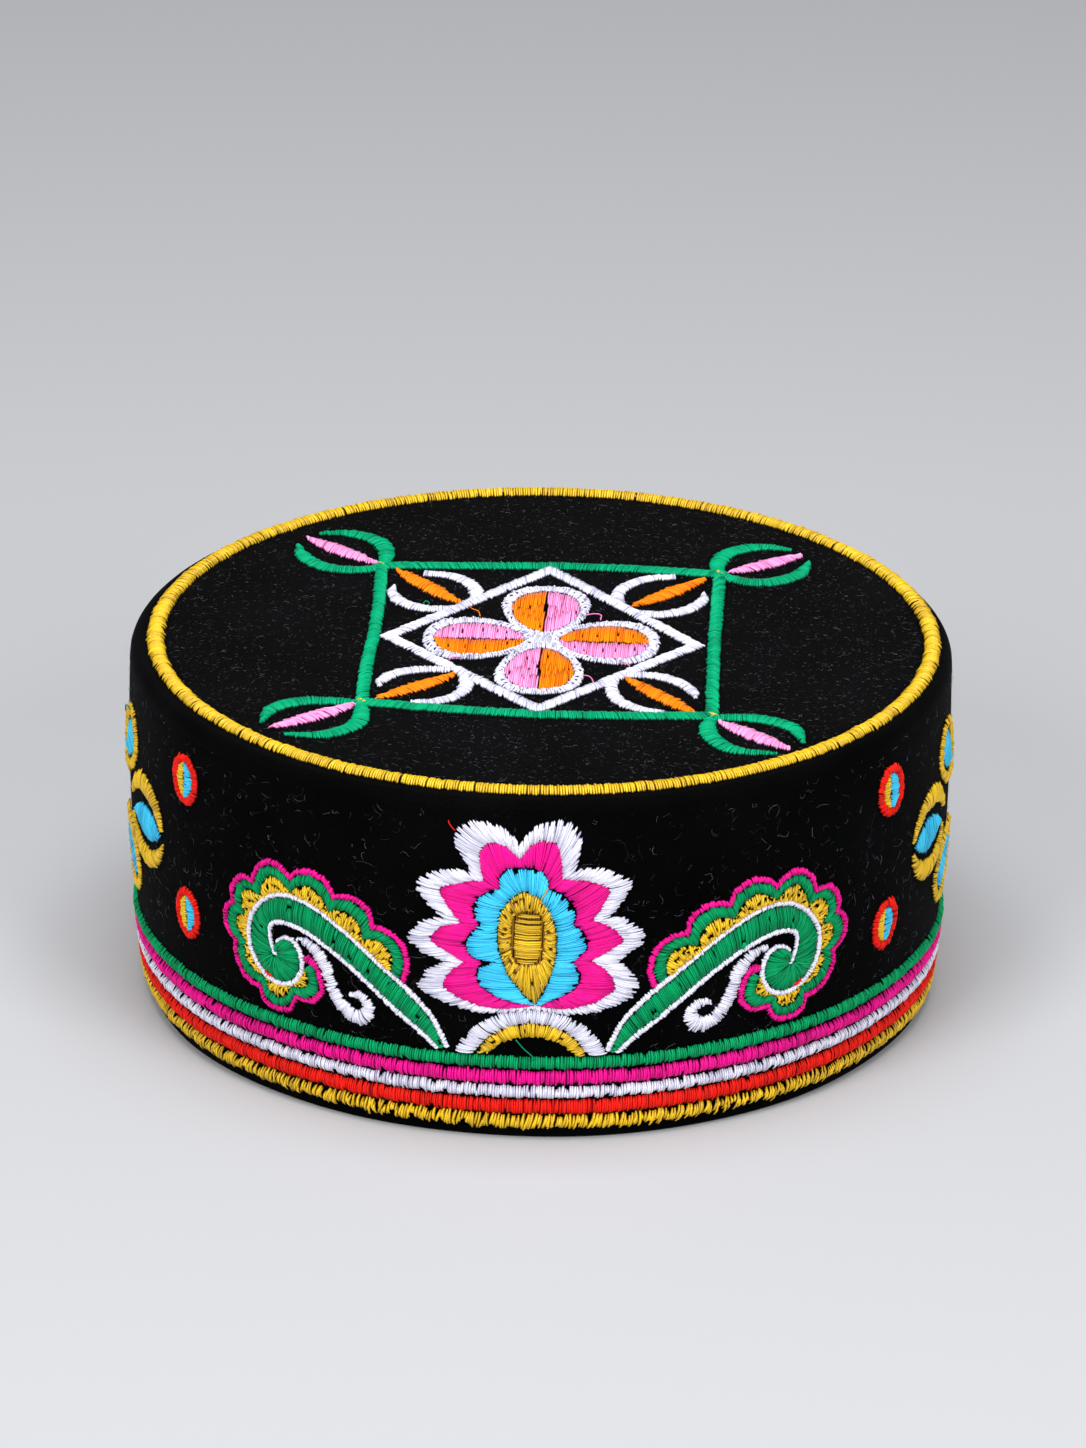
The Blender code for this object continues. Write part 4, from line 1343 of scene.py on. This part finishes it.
def halves(outline, direction, middle, inset):
    """A petal cut along its middle line: its left half and its right half, seen along it."""
    turn = math.radians(direction)
    aside = np.array([-math.sin(turn), math.cos(turn)])
    off = (outline - np.array(middle)) @ aside
    for sign in (1, -1):
        push = np.where(off * sign < inset, inset - off * sign, 0) * sign
        yield outline + aside * push[:, None]


for name, direction, outline_end, outline_width, fill_start, fill_end, fill_width in FLOWER_PETALS:
    outline = turned(teardrop(FLOWER_HUB, outline_end, outline_width), direction, FLOWER_MIDDLE)
    fill = turned(teardrop(fill_start, fill_end, fill_width, 1.15), direction, FLOWER_MIDDLE)
    node = "flower_petal_" + name
    stitched_crown(node + "_outline", "thread_white", node, between(outline, fill, 0, 0.1),
                   4.0, 0.05, "any", None, 2.4, 0.3, ragged=0.3, tone=CROWN_WHITE_SHADED_TONE)
    upright = name in ("up", "down")
    parts = halves(fill, direction, FLOWER_MIDDLE, 0.3 if upright else 0.12)
    for part, colour in zip(parts, ("thread_orange", "thread_pink")):
        chance = draws(node + colour)
        strands = broken(hatch(part, 90.0), chance, 9.0, -0.8)
        strands = specks(strands, chance, 14.0 if upright else 3.6, 1.6, most=1)
        satin(node + "_" + colour, strands, colour, [node], on_crown, ragged=0.4)
hub = hatch(ellipse(FLOWER_MIDDLE, HUB_HALF), 80.0)
satin("flower_hub_threads", hub, "thread_white", ["flower_petal_up"], on_crown, 0.95, ragged=0.4,
      tone=CROWN_WHITE_SHADED_TONE)

# %% [markdown]
# ## The corner leaves
# A leaf is a spindle between two crescents. Inside the frame it is orange and white, and its
# crescents end on the diamond. Outside it is pink and green, and they end on the frame's corner.
# The leaves were laid by eye and all differ a little, so each one has a row of its own.

# %% Stitch the leaves
SPINDLE_WIDTH = {"inner": 4.9, "outer": 5.1}
CRESCENT_GROWTH = {"inner": 1.3, "outer": 1.45}
LEAVES = {
    # node: spindle's two points, then two crescents as x, y and width
    "inner_leaf_back_left": (
        ((-37.6, 39.6), (-20.4, 18.6)),
        [(-30.5, 37.4, 2.2), (-23.6, 36.0, 2.6), (-18.6, 30.6, 2.7), (-17.0, 24.6, 2.5), (-17.8, 19.8, 2.0)],
        [(-37.0, 29.0, 0.6), (-37.2, 24.4, 1.9), (-34.4, 18.6, 2.8), (-29.0, 15.4, 2.9), (-22.0, 15.6, 2.4)],
    ),
    "inner_leaf_back_right": (
        ((37.4, 39.6), (19.9, 19.6)),
        [(29.8, 39.8, 2.0), (24.0, 38.6, 2.4), (18.6, 33.4, 2.6), (16.6, 27.0, 2.5), (17.8, 20.0, 2.0)],
        [(36.9, 31.0, 0.6), (36.9, 26.0, 2.0), (33.2, 19.6, 2.8), (27.6, 16.4, 2.9), (21.0, 16.8, 2.4)],
    ),
    "inner_leaf_front_left": (
        ((-36.2, -40.0), (-18.2, -23.8)),
        [(-35.8, -32.8, 0.6), (-35.2, -28.4, 2.2), (-31.6, -23.6, 2.8),
         (-26.0, -21.4, 2.7), (-20.0, -21.2, 2.2)],
        [(-27.6, -41.2, 2.0), (-22.4, -40.4, 2.5), (-17.4, -36.4, 2.7),
         (-15.6, -30.6, 2.6), (-16.6, -24.6, 2.0)],
    ),
    "inner_leaf_front_right": (
        ((38.4, -43.0), (20.8, -22.4)),
        [(38.0, -33.8, 0.6), (37.0, -29.2, 2.2), (33.0, -23.6, 2.8), (27.6, -20.8, 2.7), (21.0, -20.8, 2.2)],
        [(31.0, -42.8, 1.8), (26.0, -41.6, 2.4), (20.8, -37.4, 2.7), (18.4, -31.4, 2.6), (18.2, -24.8, 2.0)],
    ),
    "outer_leaf_back_left": (
        ((-61.0, 58.1), (-42.0, 42.6)),
        [(-58.0, 60.6, 0.6), (-50.0, 61.6, 2.8), (-43.0, 57.1, 3.2), (-40.5, 49.1, 2.8), (-41.0, 42.4, 2.0)],
        [(-62.5, 53.1, 0.6), (-60.0, 45.1, 2.8), (-54.0, 39.4, 3.2), (-46.0, 38.6, 2.8), (-41.0, 41.4, 2.0)],
    ),
    "outer_leaf_back_right": (
        ((60.0, 57.1), (42.0, 43.8)),
        [(57.0, 60.1, 0.6), (49.0, 61.6, 2.8), (42.0, 57.1, 3.2), (39.5, 49.1, 2.8), (40.5, 42.6, 2.0)],
        [(61.5, 53.1, 0.6), (59.0, 44.6, 2.8), (52.0, 39.2, 3.2), (45.0, 39.6, 2.8), (41.0, 42.4, 2.0)],
    ),
    "outer_leaf_front_left": (
        ((-59.0, -59.9), (-40.0, -43.2)),
        [(-61.0, -56.9, 0.6), (-59.0, -47.9, 2.8), (-53.0, -42.9, 3.2),
         (-46.0, -41.9, 2.8), (-40.0, -42.4, 2.0)],
        [(-55.0, -62.9, 0.6), (-46.0, -61.9, 2.8), (-39.5, -55.9, 3.2),
         (-38.5, -48.9, 2.8), (-39.0, -43.4, 2.0)],
    ),
    "outer_leaf_front_right": (
        ((61.0, -61.9), (43.5, -46.2)),
        [(64.0, -57.9, 0.6), (61.0, -48.9, 2.8), (54.0, -44.4, 3.2), (47.0, -43.9, 2.8), (42.5, -44.6, 2.0)],
        [(58.0, -64.4, 0.6), (48.0, -62.9, 2.8), (43.0, -56.9, 3.2), (41.5, -50.9, 2.8), (42.0, -45.4, 2.0)],
    ),
}
for node, (ends, *crescents) in LEAVES.items():
    place = node.split("_")[0]
    share = np.linspace(0, 1, 50)[:, None]
    spindle = np.array(ends[0]) * (1 - share) + np.array(ends[1]) * share
    rails = beside(spindle, SPINDLE_WIDTH[place] * np.sin(np.pi * share[:, 0]) ** 0.75)
    slanted = [rails[0][:-3], rails[1][3:]]
    colour = "thread_orange" if place == "inner" else "thread_pink"
    stitched_crown(node + "_spindle", colour, node, slanted, ragged=0.4)
    for number, crescent in enumerate(crescents):
        path = smooth(crescent)
        colour, tone = ("thread_white", CROWN_WHITE_SHADED_TONE) if place == "inner" else ("thread_jade", TONE)
        rails = beside(path[:, :2], path[:, 2] * CRESCENT_GROWTH[place])
        stitched_crown(node + "_crescent_" + str(number), colour, node, rails, 5.0, 0.05,
                       ragged=0.25, tone=tone)
print("pieces so far:", len(piece_count), "triangles:", sum(piece_count.values()))

# %% [markdown]
# ## Loose ends
# Where the machine changed colour, a few ends of thread were left uncut. Each is one round
# strand that starts under its motif and lies over the velvet.

# %% Lay the loose ends
END_WIDTH = 0.34
END_POINTS = 13
END_LOW = 0.5
END_RISE = 0.7
END_TIP = 0.2
END_TONE = 0.7
WALL_ENDS = [
    # slot, path as s and z
    ("thread_jade", [(-3.8, 26.4), (-2.0, 24.2), (-0.2, 22.4), (0.9, 20.6)]),
    ("thread_red", [(-19.0, 80.4), (-18.6, 79.6), (-17.8, 78.6), (-17.4, 78.2)]),
    ("thread_gold", [(1.2, 61.2), (1.5, 62.6), (2.2, 63.6), (2.9, 65.2)]),
    ("thread_jade", [(-136.5, 70.0), (-134.5, 72.4), (-131.5, 73.8), (-128.0, 74.2)]),
]
CROWN_ENDS = [
    # slot, path as x and y
    ("thread_pink", [(9.2, 12.0), (11.6, 12.9), (13.4, 12.4), (13.4, 10.4)]),
    ("thread_orange", [(-18.2, 16.0), (-17.2, 13.6), (-15.8, 12.4), (-15.2, 10.2)]),
    ("thread_pink", [(-20.6, -17.0), (-19.8, -15.8), (-18.8, -15.6), (-18.0, -15.2)]),
    ("thread_pink", [(19.4, -13.8), (20.0, -15.4), (20.8, -15.8), (21.8, -17.2)]),
    ("thread_pink", [(11.4, -23.6), (12.6, -24.6), (13.4, -26.0), (14.0, -28.2)]),
    ("thread_jade", [(-29.2, 17.0), (-28.8, 17.5), (-28.2, 17.5), (-27.8, 17.0)]),
]


def loose_end(name, slot, path, place):
    """One strand along a path, which rises over the stitches and sinks at both ends."""
    line = smooth(path, (END_POINTS - 1) // (len(path) - 1))
    rise = np.sin(np.pi * np.linspace(0.08, 0.92, len(line))) ** 0.4
    aside = left_of(np.gradient(line, axis=0))
    rows = []
    for sideways, upwards in FOUR_SIDES:
        spot = line + aside * sideways * END_WIDTH / 2
        rows.append(place(*spot.T, END_LOW + END_RISE * rise + upwards * END_WIDTH / 2))
    body = np.stack(rows, axis=1).reshape(1, -1, 3)
    tips = place(*line[[0, -1]].T, np.full(2, END_TIP))[None]
    uv = strand_uv(np.linspace(0, 1, len(line)))
    points = np.concatenate([body, tips], axis=1)
    mesh = joined_mesh(name, points, uv, *strand_faces(len(line)), [END_TONE])
    show(mesh, name, rayon[slot], [])


for place_name, table, place in (("wall", WALL_ENDS, on_wall), ("crown", CROWN_ENDS, on_crown)):
    for number, (slot_name, path) in enumerate(table):
        loose_end("loose_end_" + place_name + "_" + str(number), slot_name, path, place)

# %% [markdown]
# ## Lint
# Black velvet shows every fibre that settles on it. Each is a thin curled hair that lies on the
# pile: fine and short on the crown, longer and fewer on the wall. They are made as two meshes.

# %% Scatter the lint
LINT_WIDTH = 0.03
LOWEST_LINT = 0.8
WALL_LINT = 4200
CROWN_LINT = 9000
WALL_HAIR = 2.1
CROWN_HAIR = 1.0
HAIR_RINGS = 4
HAIR_BEND = 2.8
HAIR_CURL = 0.9
HAIR_LIFT = 0.12
HAIR_LOOSE = 0.25
LINT_REACH = 91
LINT_HEIGHTS = (3, 82)


def cotton_lint(name):
    """Grey cotton fibre, matt, from nearly as dark as the velvet to pale."""
    made, tree, shader = new_material(name)
    tint = add_node(tree, "ShaderNodeAttribute", {"attribute_name": "thread_tint"}, {}).outputs["Fac"]
    coloured(tree, shader, tint, "28282c", "a0a0a8")
    shader.inputs["Roughness"].default_value = 0.8
    return made


def hairs(name, starts, mean_length, chance, place, material):
    """Curled hairs of three sides from each start, lying on the velvet."""
    count = len(starts)
    share = np.linspace(0, 1, HAIR_RINGS)
    heading = chance.uniform(0, math.tau, count)
    bend = chance.normal(0, HAIR_BEND, count)
    curl = chance.normal(0, HAIR_CURL, count)
    phase = chance.uniform(0, math.tau, count)
    length = mean_length * (0.3 + chance.gamma(2.0, 0.35, count))
    middles = [np.array(starts)]
    for step in range(1, HAIR_RINGS):
        part = (step - 0.5) / (HAIR_RINGS - 1)
        turn = heading + bend * part + curl * np.sin(5 * part + phase)
        reach = (length / (HAIR_RINGS - 1))[:, None]
        middles.append(middles[-1] + reach * np.stack([np.cos(turn), np.sin(turn)], axis=1))
    middle = np.stack(middles, axis=1)
    lift = HAIR_LIFT + chance.random(count)[:, None] * HAIR_LOOSE * np.sin(np.pi * share)[None, :]
    side = left_of(np.gradient(middle, axis=1))
    thin = LINT_WIDTH / 2 * (0.5 + 0.5 * np.sin(np.pi * share))[None, :]
    rows = []
    for turn in (0, 1, 2):
        angle = math.tau * turn / 3
        spot = middle + side * (thin * math.cos(angle))[..., None]
        rows.append(place(spot[..., 0], spot[..., 1], lift + thin * math.sin(angle)))
    points = np.stack(rows, axis=2).reshape(count, HAIR_RINGS * 3, 3)
    corners, sizes = tube_faces(HAIR_RINGS, 3)
    last = (HAIR_RINGS - 1) * 3
    corners += [2, 1, 0, last, last + 1, last + 2]
    sizes += [3, 3]
    uv = np.stack([np.repeat(share, 3), np.tile(np.arange(3) / 3, HAIR_RINGS)], axis=1)
    tints = chance.random(count) ** 2.5
    mesh = joined_mesh(name, points, uv, np.array(corners), sizes, tints)
    show(mesh, name, material, [])


lint = cotton_lint("cotton_lint")
chance = draws("lint")
around = chance.uniform(0, math.tau, WALL_LINT) * WALL_UNIT
wall_starts = np.stack([around, chance.uniform(*LINT_HEIGHTS, WALL_LINT)], axis=1)


def on_wall_only(s, z, lift):
    """The wall's map for lint, which stays above the hem and below the seam."""
    return on_wall(s, np.clip(z, LOWEST_LINT, SEAM_HEIGHT), lift)


hairs("wall_lint", wall_starts, WALL_HAIR, chance, on_wall_only, lint)
reach = LINT_REACH * np.sqrt(chance.random(CROWN_LINT))
turn = chance.uniform(0, math.tau, CROWN_LINT)
crown_starts = np.stack([reach * np.cos(turn), reach * np.sin(turn)], axis=1)
hairs("crown_lint", crown_starts, CROWN_HAIR, chance, on_crown, lint)
tell("wall_lint")
tell("crown_lint")

# %% [markdown]
# ## Floor, light and camera
# The cap stands by itself on a plain pale floor. The light in the photograph is soft and comes
# from above and in front, much the same from both sides, so three broad area lights do it.
# The camera was fitted to the ring of the crown and the hem.

# %% Set the stage
FLOOR_SIZE = 12.0
AIM = Vector((0, 0, 0.05))
WORLD_STRENGTH = 0.32


def plain_floor():
    """A plain pale floor, wide enough to reach out of the picture."""
    bpy.ops.object.select_all(action="DESELECT")
    bpy.ops.mesh.primitive_plane_add(size=FLOOR_SIZE, location=(0, 0, 0))
    floor = bpy.context.object
    floor.name = "floor"
    made, tree, shader = new_material("matt_pale_paper")
    shader.inputs["Base Color"].default_value = linear("b2b3b6")
    shader.inputs["Roughness"].default_value = 0.9
    floor.data.materials.append(made)


plain_floor()


def area_light(name, place, size, power):
    """A square soft light that faces the cap."""
    lamp = bpy.data.lights.new(name, "AREA")
    lamp.shape = "SQUARE"
    lamp.size = size
    lamp.energy = power
    made = bpy.data.objects.new(name, lamp)
    bpy.context.scene.collection.objects.link(made)
    made.location = place
    made.rotation_mode = "QUATERNION"
    made.rotation_quaternion = (AIM - Vector(place)).to_track_quat("-Z", "Y")


LIGHTS = [
    # name, place, size in metres, power in watts
    ("light_above", (0.0, -0.25, 1.5), 1.0, 21.5),
    ("light_front_left", (-0.9, -1.3, 1.0), 0.8, 19.0),
    ("light_front_right", (1.0, -1.3, 0.95), 0.8, 17.0),
]
for row in LIGHTS:
    area_light(*row)
world = bpy.data.worlds.new("studio")
world.use_nodes = True
sky = world.node_tree.nodes["Background"]
sky.inputs["Color"].default_value = linear("e8eaef")
sky.inputs["Strength"].default_value = WORLD_STRENGTH
bpy.context.scene.world = world
bpy.context.scene.view_settings.view_transform = "Standard"

# %% Place the camera
PHOTO_WIDTH = 1086
PHOTO_HEIGHT = 1448
FOCAL_PIXELS = 8000.0
PITCH = math.radians(23.21)
YAW = math.radians(-0.45)
ROLL = math.radians(-0.68)
DISTANCE = 1.886
TARGET = Vector((0, 0, 0.0857))
TARGET_PIXEL = (541.3, 636.6)


def place_camera():
    """The camera at the photograph's distance, angle and framing."""
    ahead = Vector((math.sin(YAW) * math.cos(PITCH), math.cos(YAW) * math.cos(PITCH), -math.sin(PITCH)))
    level = Vector((math.cos(YAW), -math.sin(YAW), 0))
    up = level.cross(ahead)
    right = level * math.cos(ROLL) - up * math.sin(ROLL)
    above = level * math.sin(ROLL) + up * math.cos(ROLL)
    off_x = (TARGET_PIXEL[0] - PHOTO_WIDTH / 2) / FOCAL_PIXELS
    off_y = (TARGET_PIXEL[1] - PHOTO_HEIGHT / 2) / FOCAL_PIXELS
    data = bpy.data.cameras.new("camera")
    data.sensor_width = 36.0
    data.lens = FOCAL_PIXELS * data.sensor_width / PHOTO_HEIGHT
    data.clip_start = 0.05
    data.clip_end = 50.0
    made = bpy.data.objects.new("camera", data)
    bpy.context.scene.collection.objects.link(made)
    turn = Matrix((right, above, -ahead)).transposed().to_4x4()
    spot = TARGET - DISTANCE * (ahead + right * off_x - above * off_y)
    made.matrix_world = Matrix.Translation(spot) @ turn
    bpy.context.scene.camera = made


place_camera()

# %% Count the pieces and finish
print("pieces:", len(piece_count), "triangles:", sum(piece_count.values()))
